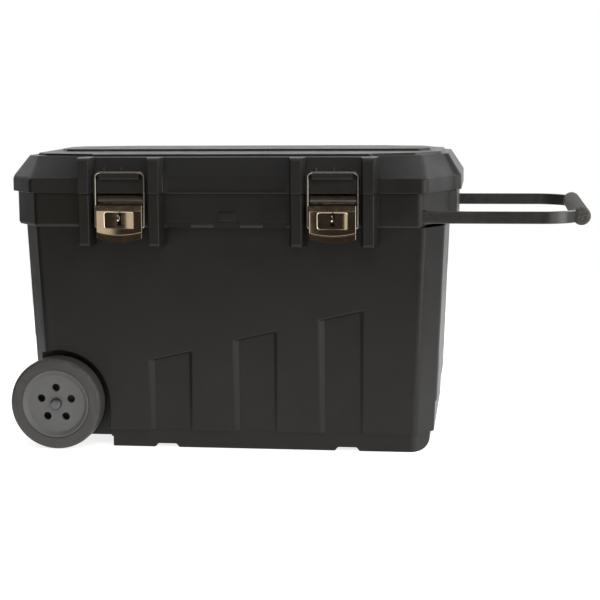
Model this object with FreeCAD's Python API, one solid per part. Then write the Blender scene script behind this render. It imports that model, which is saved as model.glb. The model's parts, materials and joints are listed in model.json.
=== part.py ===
import FreeCAD, Part
import math
import os

# Rolling jobsite chest: moulded tub and lid, pull handle, two wheels, two draw latches.
# Millimetres. +X runs along the chest towards the pull handle, +Y towards the hinges, +Z up.
# The origin is the centre of the underside, on the floor.

Vec = FreeCAD.Vector
X_AXIS = Vec(1, 0, 0)
Y_AXIS = Vec(0, 1, 0)
Z_AXIS = Vec(0, 0, 1)

# ---------------------------------------------------------------- driving dimensions
# Levels above the floor
BAND_TOP = 31.0            # top of the recessed base band
FLOOR_TOP = 10.0           # inside face of the tub's floor
RIM_BOTTOM = 376.0         # underside of the rim band
RIM_TOP = 432.0            # seam between tub and lid
LID_LIP_H = 24.0           # height of the lid's upright lip above the seam
LID_SLOPE_H = 35.0         # height of the leaning sides above the lip
TIER_RISE = 3.6            # height of each raised tier on the lid

# Plan sizes
LID_HALF_LENGTH = 380.0
LID_HALF_DEPTH = 213.0
LIP_OVERHANG_END = 7.0     # lid lip stands this far outside the rim at the ends
LIP_OVERHANG_SIDE = 5.0
RIM_STEP_END = 18.0        # rim stands this far outside the body at the ends
RIM_STEP_SIDE = 5.0
END_DRAFT = 14.0           # body narrows by this, each end, down to the base band
SIDE_DRAFT = 3.5
BLOCK_HALF = 240.0         # half-length of the proud block that carries the latches
BLOCK_PROUD = 9.0
BODY_CUT_X = 32.0          # upright corners of the body
BODY_CUT_Y = 42.0
HANDLE_CUT = 54.0          # long chamfers at the handle end of rim and lid
EAR_HALF = 103.0           # half-width of the flat end face between those chamfers
EAR_X = 12.0
EAR_Y = 7.0
WHEEL_CUT_X = 48.0         # softer corners at the wheel end
WHEEL_CUT_Y = 62.0
CORNER_R = 16.0
STRAIGHT = 0.01            # a corner that turns less than this many radians each way is straight
SHORTEST_EDGE = 0.5

# Walls and gaps
WALL = 4.0
LID_FLANGE = 9.0           # thickness of the lid's bottom flange, which seats on the rim
LID_FLANGE_H = 5.0
SEAT_GAP = 0.3             # gap between faces that rest on each other and move apart
RUN_GAP = 0.06             # radial running clearance of a pin in its hole
SIDE_GAP = 0.6             # side clearance beside a moving plate or knuckle

# Grooves in the long walls
GROOVE_COUNT = 3
GROOVE_LEFT = -141.0       # left edge of the first groove
GROOVE_PITCH = 144.0
GROOVE_WIDTH = 78.0
GROOVE_TOP = 151.0         # height of the first groove at its left edge
GROOVE_STEP_UP = 35.5
GROOVE_RISE = 18.0         # rise of a groove's top from left to right
GROOVE_DEPTH = 7.0
GROOVE_BEVEL_LEFT = 11.0
GROOVE_BEVEL_RIGHT = 8.0
GROOVE_BEVEL_TOP = 4.0

# Base band, feet and end reliefs
BAND_INSET = 7.0
BAND_END = 331.0           # handle end of the base band
BAND_ROUND = 18.0
FOOT_START = -205.0
UNDERSIDE = 17.0           # underside behind the wheels
NOTCH_H = 6.0
NOTCH_CENTRES = (-111.5, 195.0)
NOTCH_HALF = 19.0
RELIEF = 3.0               # shallow step low on each end wall
RELIEF_TOP_HANDLE = 81.0
RELIEF_TOP_WHEEL = 184.0

# Wheels and axle
WHEEL_X = -295.0
WHEEL_R = 78.0
WHEEL_FACE = 227.7         # outer face of a wheel, from the chest's middle
TYRE_WIDTH = 40.0
TYRE_SHOULDER = 5.0
HUB_R = 57.0
HUB_RIM = 7.0
HUB_BEVEL = 6.0
HUB_WEB = 6.0
HUB_RECESS = 7.0
HUB_BOSS_R = 14.0
HUB_HOLES = 5
HUB_HOLE_R = 6.8
HUB_HOLE_PCD = 54.0
AXLE_R = 6.0
CAP_R = 9.5
CAP_DOME = 4.0
CAP_LENGTH = 8.0
ARCH_GAP = 9.0             # between tyre and wheel arch
WELL_GAP = 6.0             # between the wheel's inner face and the well wall
CHANNEL_LEFT = 43.0        # axle channel runs this far past the axle, towards the handle
CHANNEL_TOP = 22.0         # and this far above it
BRACKET_HALF = 15.0
BRACKET_LENGTH = 34.0
BRACKET_LOW = 12.0
WASHER_R = 12.0
WASHER_T = 2.0
BRACKET_SCREW_R = 2.5
BRACKET_SCREW_PITCH = 20.0

# Latch guards
GUARD_OUT = 21.0           # the posts stand this far out from the rim's proud face
GUARD_FRONT_W = 17.0
GUARD_BACK_W = 27.0
GUARD_DROP = 30.0          # the posts reach this far below the rim band
GUARD_SPACE = 2.1          # room between a post's root and the latch's bail
GUARD_ROUND = 12.0
GUARD_CHAMFER = 4.0

# Draw latches
LATCH_X = 176.0
BASE_T = 2.0
BASE_HALF = 38.0
BASE_DROP = 24.0           # the plate reaches this far below the lever's pin
BASE_TOP_GAP = 1.0
BASE_CORNER_R = 6.0
BULGE_OUT = 3.5            # the plate bulges between the lever and the seam
BULGE_H = 15.0
EAR_T = 1.8
EAR_R = 4.5
EAR_DROP = 12.0            # an ear's foot reaches this far below the pin
EAR_SHOULDER = 2.4         # and starts this far below it, clear of the opened lever
PIN_DROP = 24.0            # pin axis below the seam
PIN_R = 2.5
PIN_OUT = 9.0              # pin axis stands this far out from the base plate
LEVER_HALF = 38.5
LEVER_REACH = 50.0         # the lever's face reaches this far below its pin
LEVER_T = 1.5
LEVER_FACE_OUT = 17.0      # lever's front face from the base plate
LEVER_TOP = 6.0            # lever rises this far above its pin
LEVER_ROLL_H = 8.0         # the plate's top rolls back over this height
LEVER_ROLL_IN = 3.0
LEVER_ROLL_EASE = 0.8
LEVER_LIP = 5.0
LEVER_SAG = 8.0
LIP_RISE = 7.0             # the lip starts to flare this far above the lever's lower line
LIP_FLARE = 4.0
LIP_EASE = 1.0
LIP_EASE_H = 2.0
LEVER_SKEW = 0.6           # the plate's back is this far below its front at each bend
LEVER_BACK = 7.0           # lever's side flanges reach this far behind the pin
WINDOW_HALF = 25.0
WINDOW_DROP = 4.5          # window's upper edge below the pin
WINDOW_H = 28.0
WINDOW_DEPTH = 3.5
SLOT_HALF = 3.6
SLOT_MARGIN_LOW = 4.5      # slot's ends inside the window's edges
SLOT_MARGIN_TOP = 1.5
STAPLE_T = 2.6
STAPLE_DROP = 9.0          # staple's top below the pin
STAPLE_H = 11.0
STAPLE_OUT = 23.0
STAPLE_HOLE_R = 3.3
STAPLE_RIM = 2.4
STAPLE_CORNER_R = 3.5
BAIL_R = 1.9
BAIL_HALF = 41.0
BAIL_PIVOT_DROP = 30.0     # bail pivots this far below the lever's pin
BAIL_CORNER = 7.0
KEEPER_SIDE = 7.5          # the keeper ends this far inside the bail's legs
KEEPER_RISE = 32.5         # top of the keeper above the seam
KEEPER_H = 9.0
KEEPER_OUT = 8.5
GUSSET_W = 2.4
GUSSET_H = 14.0
GUSSET_PITCH = 29.0
GUSSET_OUT = 3.5
RIVET_R = 2.4
RIVET_HEAD_R = 4.5
RIVET_HEAD_T = 1.6
RIVET_X = 22.0
RIVET_DROPS = (19.0, 5.0)  # rivets below the pin

# Front centre details
RECESS_HALF = 97.0
RECESS_RISE = 4.0          # recess starts this far above the seam
RECESS_H = 24.0
RECESS_DEPTH = 2.5
NOTCH_ROW = ((-100.0, -60.0), (-21.5, 21.5), (60.0, 100.0))
NOTCH_ROW_H = 10.0
NOTCH_ROW_DEPTH = 2.6
BOSS_HALF = 13.0
BOSS_RISE = 12.0           # boss starts this far above the rim's underside
BOSS_H = 13.0
BOSS_OUT = 2.5

# Pull handle
ARM_Y = 199.0
ARM_T = 8.0
ARM_H = 20.0
ARM_Z = 393.0
ARM_IN = 200.0             # inner end of the arms, handle pulled out
ARM_BEND_X = 508.0
ARM_BEND_R = 68.0
ARM_EDGE_R = 1.5
GRIP_R = 15.0
GRIP_HALF = 172.0
GRIP_ROUND = 7.0
HANDLE_TRAVEL = 175.0
ARM_SLOT_GAP = 1.0
STOP_PIN_R = 1.9
STOP_PIN_INSET = 8.0

# Handle guides and the angle shelves that carry them
GUIDE_T = 2.4
GUIDE_GAP = 1.5
GUIDE_START = 10.0
GUIDE_END = 304.0
GUIDE_FOOT = 11.0
GUIDE_FOOT_T = 3.0
SHELF_T = WALL
SHELF_LEG_H = 12.0
SHELF_LEG_T = 3.0
GUIDE_SCREW_R = 2.0
GUIDE_SCREW_HEAD_R = 3.6
GUIDE_SCREW_HEAD_T = 1.6
GUIDE_SCREWS = 4
GUIDE_SCREW_END = 35.0

# Hinges
HINGE_STATIONS = (-215.0, 0.0, 215.0)
HINGE_OUT = 11.0           # hinge axis behind the lid's back face
HINGE_R = 8.0
HINGE_PIN_R = 3.0
KNUCKLE_HALF = 16.0
LUG_WIDTH = 14.0
LUG_DROP = 30.0
KNUCKLE_RISE = 20.0

# Tray
TRAY_LENGTH = 300.0
TRAY_LEFT = -305.0
TRAY_FLOOR_Z = 300.0
TRAY_HEIGHT = 62.0
TRAY_WALL = 2.5
TRAY_CLEAR = 2.2
TRAY_CORNER = 20.0
RAIL_W = 14.0              # the angle rails that the tray slides on
RAIL_T = 3.0
RAIL_LEG_H = 22.0
DIVIDERS = (100.0, 200.0)  # from the tray's left end
DIVIDER_T = 2.0
DIVIDER_H = 48.0

# ---------------------------------------------------------------- derived sizes
RIM_HALF_LENGTH = LID_HALF_LENGTH - LIP_OVERHANG_END
RIM_HALF_DEPTH = LID_HALF_DEPTH - LIP_OVERHANG_SIDE
BODY_HALF_LENGTH = RIM_HALF_LENGTH - RIM_STEP_END
BODY_HALF_DEPTH = RIM_HALF_DEPTH - RIM_STEP_SIDE
BODY_HEIGHT = RIM_BOTTOM - BAND_TOP
RIM_FACE = RIM_HALF_DEPTH + BLOCK_PROUD
LID_BEVEL_START = RIM_TOP + LID_LIP_H
LID_TOP = LID_BEVEL_START + LID_SLOPE_H
GUARD_FACE = RIM_FACE + GUARD_OUT
GUARD_BOTTOM = RIM_BOTTOM - GUARD_DROP
GUARD_SPREAD = BAIL_HALF + BAIL_R + GUARD_SPACE + GUARD_BACK_W / 2
PIN_Z = RIM_TOP - PIN_DROP
BASE_LOW = PIN_Z - BASE_DROP
LEVER_LOW = PIN_Z - LEVER_REACH
WINDOW_TOP = PIN_Z - WINDOW_DROP
WINDOW_LOW = WINDOW_TOP - WINDOW_H
SLOT_TOP = WINDOW_TOP - SLOT_MARGIN_TOP
SLOT_LOW = WINDOW_LOW + SLOT_MARGIN_LOW
STAPLE_TOP = PIN_Z - STAPLE_DROP
STAPLE_LOW = STAPLE_TOP - STAPLE_H
KEEPER_TOP = RIM_TOP + KEEPER_RISE
KEEPER_HALF = BAIL_HALF - KEEPER_SIDE
RECESS_LOW = RIM_TOP + RECESS_RISE
RECESS_TOP = RECESS_LOW + RECESS_H
NOTCH_ROW_TOP = RIM_BOTTOM + NOTCH_ROW_H
BOSS_LOW = RIM_BOTTOM + BOSS_RISE
BOSS_TOP = BOSS_LOW + BOSS_H
LID_FACE = LID_HALF_DEPTH + BLOCK_PROUD
LID_BOTTOM = RIM_TOP + SEAT_GAP
LEDGE_TOP = RIM_BOTTOM + WALL
SHELF_TOP = ARM_Z - ARM_H / 2 - GUIDE_FOOT_T
PIN_Y = -(RIM_FACE + BASE_T + PIN_OUT)
LEVER_FACE = -(RIM_FACE + BASE_T + LEVER_FACE_OUT)
BAIL_PIVOT_Z = PIN_Z - BAIL_PIVOT_DROP
BAIL_PIVOT_Y = PIN_Y - 1.0
BAIL_BAR_Z = KEEPER_TOP + SEAT_GAP + BAIL_R
BAIL_BAR_Y = -(LID_FACE + BAIL_R + 1.2)
HINGE_Y = LID_HALF_DEPTH + HINGE_OUT
HINGE_Z = RIM_TOP
GRIP_X = ARM_BEND_X + ARM_BEND_R
OUTSIDE = 60.0             # reach of cutting shapes beyond what they cut


# ---------------------------------------------------------------- shape helpers
def box(x0, x1, y0, y1, z0, z1):
    """A box between two corners."""
    return Part.makeBox(x1 - x0, y1 - y0, z1 - z0, Vec(x0, y0, z0))


def rod(start, axis, radius, length):
    """A cylinder from start along axis."""
    return Part.makeCylinder(radius, length, start, axis)


def fused(shapes):
    """One solid out of several touching ones."""
    whole = shapes[0]
    for shape in shapes[1:]:
        whole = whole.fuse(shape)
    return whole.removeSplitter()


def group(shapes):
    """Separate solids kept together in one node."""
    return Part.makeCompound(shapes)


def flipped_y(shape):
    """The mirror image across the chest's lengthwise middle plane."""
    return shape.mirror(Vec(0, 0, 0), Y_AXIS)


def flat_face(points):
    """A flat face inside a closed polygon of 3-D points."""
    return Part.Face(Part.makePolygon(points + [points[0]]))


def extruded(points, vector):
    """A prism from a closed polygon of 3-D points."""
    return flat_face(points).extrude(vector)


def frustum(near, far):
    """A flat-sided solid between two polygons with matching corners."""
    sides = [flat_face([near[i - 1], near[i], far[i], far[i - 1]]) for i in range(len(near))]
    solid = Part.makeSolid(Part.makeShell([flat_face(near), flat_face(far)] + sides))
    if solid.Volume < 0:
        solid.reverse()
    return solid


def lofted(wires):
    """A solid with straight-ruled sides through the wires, turned right side out."""
    solid = Part.makeLoft(wires, True, True)
    if solid.Volume < 0:
        solid.reverse()
    return solid


def inset(points, distance):
    """The plan polygon moved inwards by distance; points run anticlockwise."""
    count = len(points)
    moved = []
    for i in range(count):
        before, here, after = points[i - 1], points[i], points[(i + 1) % count]
        ax, ay = here[0] - before[0], here[1] - before[1]
        bx, by = after[0] - here[0], after[1] - here[1]
        a_len, b_len = math.hypot(ax, ay), math.hypot(bx, by)
        ax, ay, bx, by = ax / a_len, ay / a_len, bx / b_len, by / b_len
        turn = 1 + ax * bx + ay * by
        moved.append((here[0] - distance * (ay + by) / turn, here[1] + distance * (ax + bx) / turn))
    return moved


def rounded_wire(points, z, radius):
    """A closed wire at height z with an arc at each corner of the plan polygon. A corner that
    hardly turns gets a short straight edge, so that all levels have as many edges."""
    count = len(points)
    corners = []
    for i in range(count):
        here = Vec(points[i][0], points[i][1], z)
        back = Vec(points[i - 1][0], points[i - 1][1], z) - here
        ahead = Vec(points[(i + 1) % count][0], points[(i + 1) % count][1], z) - here
        half_turn = (math.pi - back.getAngle(ahead)) / 2
        reach = min(radius * math.tan(half_turn), 0.4 * back.Length, 0.4 * ahead.Length)
        reach = max(reach, SHORTEST_EDGE)
        back.normalize()
        ahead.normalize()
        start = here + back * reach
        end = here + ahead * reach
        if half_turn < STRAIGHT:
            corners.append((start, Part.LineSegment(start, end), end))
        else:
            bisector = back + ahead
            bisector.normalize()
            arc_radius = reach / math.tan(half_turn)
            middle = here + bisector * (arc_radius / math.cos(half_turn) - arc_radius)
            corners.append((start, Part.Arc(start, middle, end), end))
    edges = []
    for i in range(count):
        start, curve, end = corners[i]
        edges.append(curve.toShape())
        edges.append(Part.LineSegment(end, corners[(i + 1) % count][0]).toShape())
    return Part.Wire(edges)


def walled(levels, radius=CORNER_R):
    """A solid with straight-ruled sides through plan polygons, given as (z, points) pairs."""
    pieces = []
    for (z0, low), (z1, high) in zip(levels, levels[1:]):
        wires = [rounded_wire(low, z0, radius), rounded_wire(high, z1, radius)]
        pieces.append(lofted(wires))
    return fused(pieces)


def body_plan(half_length, half_depth):
    """Plan of the tub's body: a rectangle with its four corners cut."""
    x_in = half_length - BODY_CUT_X
    y_in = half_depth - BODY_CUT_Y
    return [(-x_in, -half_depth), (x_in, -half_depth), (half_length, -y_in), (half_length, y_in),
            (x_in, half_depth), (-x_in, half_depth), (-half_length, y_in), (-half_length, -y_in)]


def shouldered_plan(half_length, half_depth, proud, block_half, handle_corner, wheel_corner, ear):
    """Plan of rim and lid: proud front block, long chamfers and an ear at the handle end,
    softer corners at the wheel end. handle_corner is (cut, sweep), wheel_corner is
    (cut_x, cut_y, sweep) and ear is (half, x, y)."""
    cut, sweep = handle_corner
    cut_x, cut_y, wheel_sweep = wheel_corner
    ear_half, ear_x, ear_y = ear
    wheel_x = -(half_length - cut_x)
    wheel_y = half_depth - cut_y
    handle_x = half_length - cut
    return [(wheel_x, -(half_depth - wheel_sweep)), (-block_half - 1, -half_depth),
            (-block_half, -half_depth - proud), (block_half, -half_depth - proud),
            (block_half + 1, -half_depth), (handle_x, -(half_depth - sweep)),
            (half_length - ear_x, -ear_half - ear_y), (half_length, -ear_half),
            (half_length, ear_half), (half_length - ear_x, ear_half + ear_y),
            (handle_x, half_depth - sweep), (block_half + 1, half_depth),
            (-block_half - 1, half_depth), (wheel_x, half_depth - wheel_sweep),
            (-half_length, wheel_y), (-half_length, -wheel_y)]


def rim_plan():
    """Plan of the rim band."""
    return shouldered_plan(RIM_HALF_LENGTH, RIM_HALF_DEPTH, BLOCK_PROUD, BLOCK_HALF,
                           (HANDLE_CUT, 0.0), (WHEEL_CUT_X, WHEEL_CUT_Y, 3.0),
                           (EAR_HALF, EAR_X, EAR_Y))


def lid_plan():
    """Plan of the lid's upright lip."""
    return shouldered_plan(LID_HALF_LENGTH, LID_HALF_DEPTH, BLOCK_PROUD, BLOCK_HALF,
                           (HANDLE_CUT, 0.0), (WHEEL_CUT_X, WHEEL_CUT_Y, 3.0),
                           (EAR_HALF, EAR_X, EAR_Y))


LID_LEAN_END = 22.0        # lean of the lid's sides between bevel start and top
LID_LEAN_SIDE = 37.0
LID_BLOCK_LEAN = 19.0
LID_TOP_SWEEP = 34.0
LID_TOP_HANDLE_CUT = 42.0
LID_TOP_WHEEL_CUT = (23.0, 54.0, 26.0)
LID_TOP_EAR = (82.0, 8.0, 6.0)
TIER_INSET = 11.0          # first tier inside the lid's top outline
TIER_FRONT = 27.0          # first tier behind the proud block's top edge
TIER_BEVEL = 2.0
CREST_HALF_LENGTH = 326.0
CREST_HALF_DEPTH = 62.0
CREST_CUT_X = 18.0
CREST_CUT_Y = 32.0


def lid_top_plan():
    """Plan of the lid's top face."""
    half_depth = LID_HALF_DEPTH - LID_LEAN_SIDE
    proud = LID_FACE - LID_BLOCK_LEAN - half_depth
    return shouldered_plan(LID_HALF_LENGTH - LID_LEAN_END, half_depth, proud, BLOCK_HALF,
                           (LID_TOP_HANDLE_CUT, LID_TOP_SWEEP), LID_TOP_WHEEL_CUT, LID_TOP_EAR)


def tier_plan():
    """Plan of the first raised tier."""
    half_depth = LID_HALF_DEPTH - LID_LEAN_SIDE - TIER_INSET
    proud = LID_FACE - LID_BLOCK_LEAN - TIER_FRONT - half_depth
    ear_half, ear_x, ear_y = LID_TOP_EAR
    return shouldered_plan(LID_HALF_LENGTH - LID_LEAN_END - TIER_INSET, half_depth, proud,
                           BLOCK_HALF - TIER_INSET / 2, (LID_TOP_HANDLE_CUT, LID_TOP_SWEEP),
                           LID_TOP_WHEEL_CUT, (ear_half, ear_x, ear_y))


def crest_plan():
    """Plan of the top tier."""
    x_in = CREST_HALF_LENGTH - CREST_CUT_X
    y_in = CREST_HALF_DEPTH - CREST_CUT_Y
    return [(-x_in, -CREST_HALF_DEPTH), (x_in, -CREST_HALF_DEPTH), (CREST_HALF_LENGTH, -y_in),
            (CREST_HALF_LENGTH, y_in), (x_in, CREST_HALF_DEPTH), (-x_in, CREST_HALF_DEPTH),
            (-CREST_HALF_LENGTH, y_in), (-CREST_HALF_LENGTH, -y_in)]


# ---------------------------------------------------------------- tub
def body_at(z, grow):
    """Plan of the body at height z, moved inwards by grow."""
    share = (z - BAND_TOP) / BODY_HEIGHT
    half_length = BODY_HALF_LENGTH - END_DRAFT * (1 - share)
    half_depth = BODY_HALF_DEPTH - SIDE_DRAFT * (1 - share)
    return inset(body_plan(half_length, half_depth), grow)


def groove(index, grow):
    """One trapezoid groove of the front wall, open at its foot; grow makes it larger all round."""
    left = GROOVE_LEFT + index * GROOVE_PITCH - grow
    width = GROOVE_WIDTH + 2 * grow
    top = GROOVE_TOP + index * GROOVE_STEP_UP + grow
    slope = GROOVE_RISE / GROOVE_WIDTH
    foot = BAND_TOP - OUTSIDE
    out = OUTSIDE / 10
    floor_y = -BODY_HALF_DEPTH + SIDE_DRAFT / 2 + GROOVE_DEPTH + grow

    def outline(y, share):
        x0 = left + GROOVE_BEVEL_LEFT * share
        x1 = left + width - GROOVE_BEVEL_RIGHT * share
        z0 = top + slope * (x0 - left) - GROOVE_BEVEL_TOP * share
        z1 = top + slope * (x1 - left) - GROOVE_BEVEL_TOP * share
        return [Vec(x0, y, foot), Vec(x1, y, foot), Vec(x1, y, z1), Vec(x0, y, z0)]

    return frustum(outline(-BODY_HALF_DEPTH - out, -out / GROOVE_DEPTH), outline(floor_y, 1))


def grooves(grow):
    """All grooves, on both long walls."""
    front = [groove(i, grow) for i in range(GROOVE_COUNT)]
    return front + [flipped_y(shape) for shape in front]


def wheel_space(grow):
    """The room taken out of the tub by wheels and axle."""
    arch_r = WHEEL_R + ARCH_GAP + grow
    inner = WHEEL_FACE - TYRE_WIDTH - WELL_GAP - grow
    outer = WHEEL_FACE + OUTSIDE
    right = WHEEL_X + arch_r
    arch = rod(Vec(WHEEL_X, -outer, WHEEL_R), Y_AXIS, arch_r, outer - inner)
    skirt = box(WHEEL_X - arch_r - OUTSIDE, right, -outer, -inner, -OUTSIDE, WHEEL_R)
    front = fused([arch, skirt])
    channel_right = WHEEL_X + CHANNEL_LEFT + grow
    channel_top = WHEEL_R + CHANNEL_TOP + grow
    slope = CHANNEL_TOP
    channel = extruded([Vec(WHEEL_X - arch_r - OUTSIDE, -inner - 1, -OUTSIDE),
                        Vec(channel_right, -inner - 1, -OUTSIDE),
                        Vec(channel_right, -inner - 1, channel_top - slope),
                        Vec(channel_right - slope, -inner - 1, channel_top),
                        Vec(WHEEL_X - arch_r - OUTSIDE, -inner - 1, channel_top)],
                       Vec(0, 2 * inner + 2, 0))
    return fused([front, flipped_y(front), channel])


def base_block(grow, low, high):
    """The recessed band under the body between two levels, moved inwards by grow."""
    plan = inset(body_at(BAND_TOP, BAND_INSET), grow)
    block = walled([(low, plan), (high, plan)])
    end = BAND_END - grow
    return block.cut(box(end, end + OUTSIDE, -BODY_HALF_DEPTH, BODY_HALF_DEPTH, low - 1, high + 1))


def end_round(grow):
    """What the round along the base band's lower edge takes off, moved inwards by grow."""
    slab = box(BAND_END - BAND_ROUND, BAND_END + OUTSIDE, -BODY_HALF_DEPTH, BODY_HALF_DEPTH,
               -1, BAND_ROUND)
    keep = rod(Vec(BAND_END - BAND_ROUND, -BODY_HALF_DEPTH, BAND_ROUND), Y_AXIS,
               BAND_ROUND - grow, 2 * BODY_HALF_DEPTH)
    return slab.cut(keep)


def foot_notch(centre):
    """A slanted notch across the feet."""
    top = NOTCH_HALF - NOTCH_H / 2
    low = NOTCH_HALF + NOTCH_H
    depth = BODY_HALF_DEPTH
    return extruded([Vec(centre - low, -depth, -NOTCH_H), Vec(centre + low, -depth, -NOTCH_H),
                     Vec(centre + top, -depth, NOTCH_H), Vec(centre - top, -depth, NOTCH_H)],
                    Vec(0, 2 * depth, 0))


def end_relief(grow):
    """The shallow step low on each end wall."""
    low = -1.0
    handle_x = BODY_HALF_LENGTH - END_DRAFT
    tilt = END_DRAFT / BODY_HEIGHT

    def slab(top, sign):
        rise = top - BAND_TOP
        x_low = handle_x - RELIEF - grow
        x_high = x_low + rise * tilt
        points = [(x_low, low), (x_low, BAND_TOP), (x_high, top + grow),
                  (x_high + RELIEF + grow + 1, top + RELIEF + grow), (x_low + OUTSIDE, top),
                  (x_low + OUTSIDE, low)]
        return extruded([Vec(sign * x, -BODY_HALF_DEPTH, z) for x, z in points],
                        Vec(0, 2 * BODY_HALF_DEPTH, 0))

    return [slab(RELIEF_TOP_HANDLE, 1), slab(RELIEF_TOP_WHEEL, -1)]


def guard(centre, z0, z1, back, round_top):
    """One latch guard post between z0 and z1, narrower at its face than at its back."""
    half_front = GUARD_FRONT_W / 2
    half_back = GUARD_BACK_W / 2
    root = RIM_FACE
    slope = (half_back - half_front) / (GUARD_FACE - root)
    half_deep = half_front + slope * (GUARD_FACE - back)
    plan = extruded([Vec(centre - half_front, -GUARD_FACE, z0), Vec(centre + half_front, -GUARD_FACE, z0),
                     Vec(centre + half_back, -root, z0), Vec(centre + half_back, -back, z0),
                     Vec(centre - half_back, -back, z0), Vec(centre - half_back, -root, z0)],
                    Vec(0, 0, z1 - z0))
    reach = half_deep + 1
    if round_top:
        slab = box(centre - reach, centre + reach, -GUARD_FACE - 1, -GUARD_FACE + GUARD_ROUND,
                   z1 - GUARD_ROUND, z1 + 1)
        keep = rod(Vec(centre - reach, -GUARD_FACE + GUARD_ROUND, z1 - GUARD_ROUND), X_AXIS,
                   GUARD_ROUND, 2 * reach)
        return plan.cut(slab.cut(keep))
    wedge = extruded([Vec(centre - reach, -GUARD_FACE - 1, z0 + GUARD_CHAMFER + 1),
                      Vec(centre - reach, -GUARD_FACE - 1, z0 - 1),
                      Vec(centre - reach, -GUARD_FACE + GUARD_CHAMFER + 1, z0 - 1)],
                     Vec(2 * reach, 0, 0))
    return plan.cut(wedge)


def guard_centres():
    """Centres of the four posts, two beside each latch."""
    return [side * LATCH_X + reach for side in (-1, 1) for reach in (-GUARD_SPREAD, GUARD_SPREAD)]


def hinge_lugs():
    """The tub's hinge lugs, two at each station, bored for the pins."""
    lugs = []
    inner = KNUCKLE_HALF + SIDE_GAP
    for station in HINGE_STATIONS:
        for sign in (-1, 1):
            x0 = station + sign * inner if sign > 0 else station - inner - LUG_WIDTH
            web = extruded([Vec(x0, RIM_HALF_DEPTH - 1, HINGE_Z - LUG_DROP),
                            Vec(x0, HINGE_Y + HINGE_R, HINGE_Z - HINGE_R),
                            Vec(x0, HINGE_Y + HINGE_R, HINGE_Z),
                            Vec(x0, RIM_HALF_DEPTH - 1, HINGE_Z)], Vec(LUG_WIDTH, 0, 0))
            barrel = rod(Vec(x0, HINGE_Y, HINGE_Z), X_AXIS, HINGE_R, LUG_WIDTH)
            bore = rod(Vec(x0 - 1, HINGE_Y, HINGE_Z), X_AXIS, HINGE_PIN_R, LUG_WIDTH + 2)
            lugs.append(web.fuse(barrel).cut(bore).removeSplitter())
    return lugs


def arm_slot():
    """The slot in the handle-end chamfer of the rim that a handle arm slides through."""
    return box(GUIDE_END, RIM_HALF_LENGTH + OUTSIDE,
               -ARM_Y - ARM_T / 2 - ARM_SLOT_GAP, -ARM_Y + ARM_T / 2 + ARM_SLOT_GAP,
               ARM_Z - ARM_H / 2 - SEAT_GAP, ARM_Z + ARM_H / 2 + ARM_SLOT_GAP)


def guide_screw_spots():
    """Screw places along one handle guide."""
    span = GUIDE_END - GUIDE_START - 2 * GUIDE_SCREW_END
    step = span / (GUIDE_SCREWS - 1)
    y = -ARM_Y + ARM_T / 2 + GUIDE_GAP + GUIDE_T + GUIDE_FOOT / 2
    return [(GUIDE_START + GUIDE_SCREW_END + i * step, y) for i in range(GUIDE_SCREWS)]


def wall_inside(z):
    """How far the body wall's inner face stands from the chest's middle at height z."""
    share = (z - BAND_TOP) / BODY_HEIGHT
    return BODY_HALF_DEPTH - SIDE_DRAFT * (1 - share) - WALL


def rail_end():
    """Half-length of a tray rail."""
    return BODY_HALF_LENGTH - BODY_CUT_X - END_DRAFT


def angle(x0, x1, top, plate_t, plate_edge, leg_low, leg_face):
    """A front angle section from x0 to x1 that lies flat against the wall's inner face."""
    outline = [(-wall_inside(leg_low), leg_low), (leg_face, leg_low), (leg_face, top - plate_t),
               (plate_edge, top - plate_t), (plate_edge, top), (-wall_inside(top), top)]
    return extruded([Vec(x0, y, z) for y, z in outline], Vec(x1 - x0, 0, 0))


def make_shelf():
    """The front angle shelf that carries a handle guide, with its screw holes."""
    inner_edge = -ARM_Y + ARM_T / 2 + GUIDE_GAP + GUIDE_T + GUIDE_FOOT
    leg_low = SHELF_TOP - SHELF_T - SHELF_LEG_H
    leg_face = -wall_inside(leg_low + SHELF_LEG_H / 2) + SHELF_LEG_T
    shelf = angle(GUIDE_START, GUIDE_END, SHELF_TOP, SHELF_T, inner_edge, leg_low, leg_face)
    for x, y in guide_screw_spots():
        shelf = shelf.cut(rod(Vec(x, y, SHELF_TOP - SHELF_T - 1), Z_AXIS, GUIDE_SCREW_R, SHELF_T + 2))
    return shelf


def tray_half_depth():
    """Half the tray's depth, set by the tub's inside at the tray's floor."""
    return wall_inside(TRAY_FLOOR_Z) - TRAY_CLEAR


def make_tray_rail():
    """The front angle rail that the tray slides on, welded to the wall by its leg."""
    inner_edge = -wall_inside(TRAY_FLOOR_Z) + RAIL_W
    low = TRAY_FLOOR_Z - RAIL_T - RAIL_LEG_H
    leg_face = -wall_inside(TRAY_FLOOR_Z - (RAIL_T + RAIL_LEG_H) / 2) + RAIL_T
    return angle(-rail_end(), rail_end(), TRAY_FLOOR_Z, RAIL_T, inner_edge, low, leg_face)


def rivet_holes(latch_x):
    """Holes for one latch's rivets, through its base plate and the rim."""
    length = BASE_T + WALL + 2
    return [rod(Vec(latch_x + sign * RIVET_X, -RIM_FACE - BASE_T - 1, PIN_Z - drop), Y_AXIS,
                RIVET_R, length) for sign in (-1, 1) for drop in RIVET_DROPS]


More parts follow.
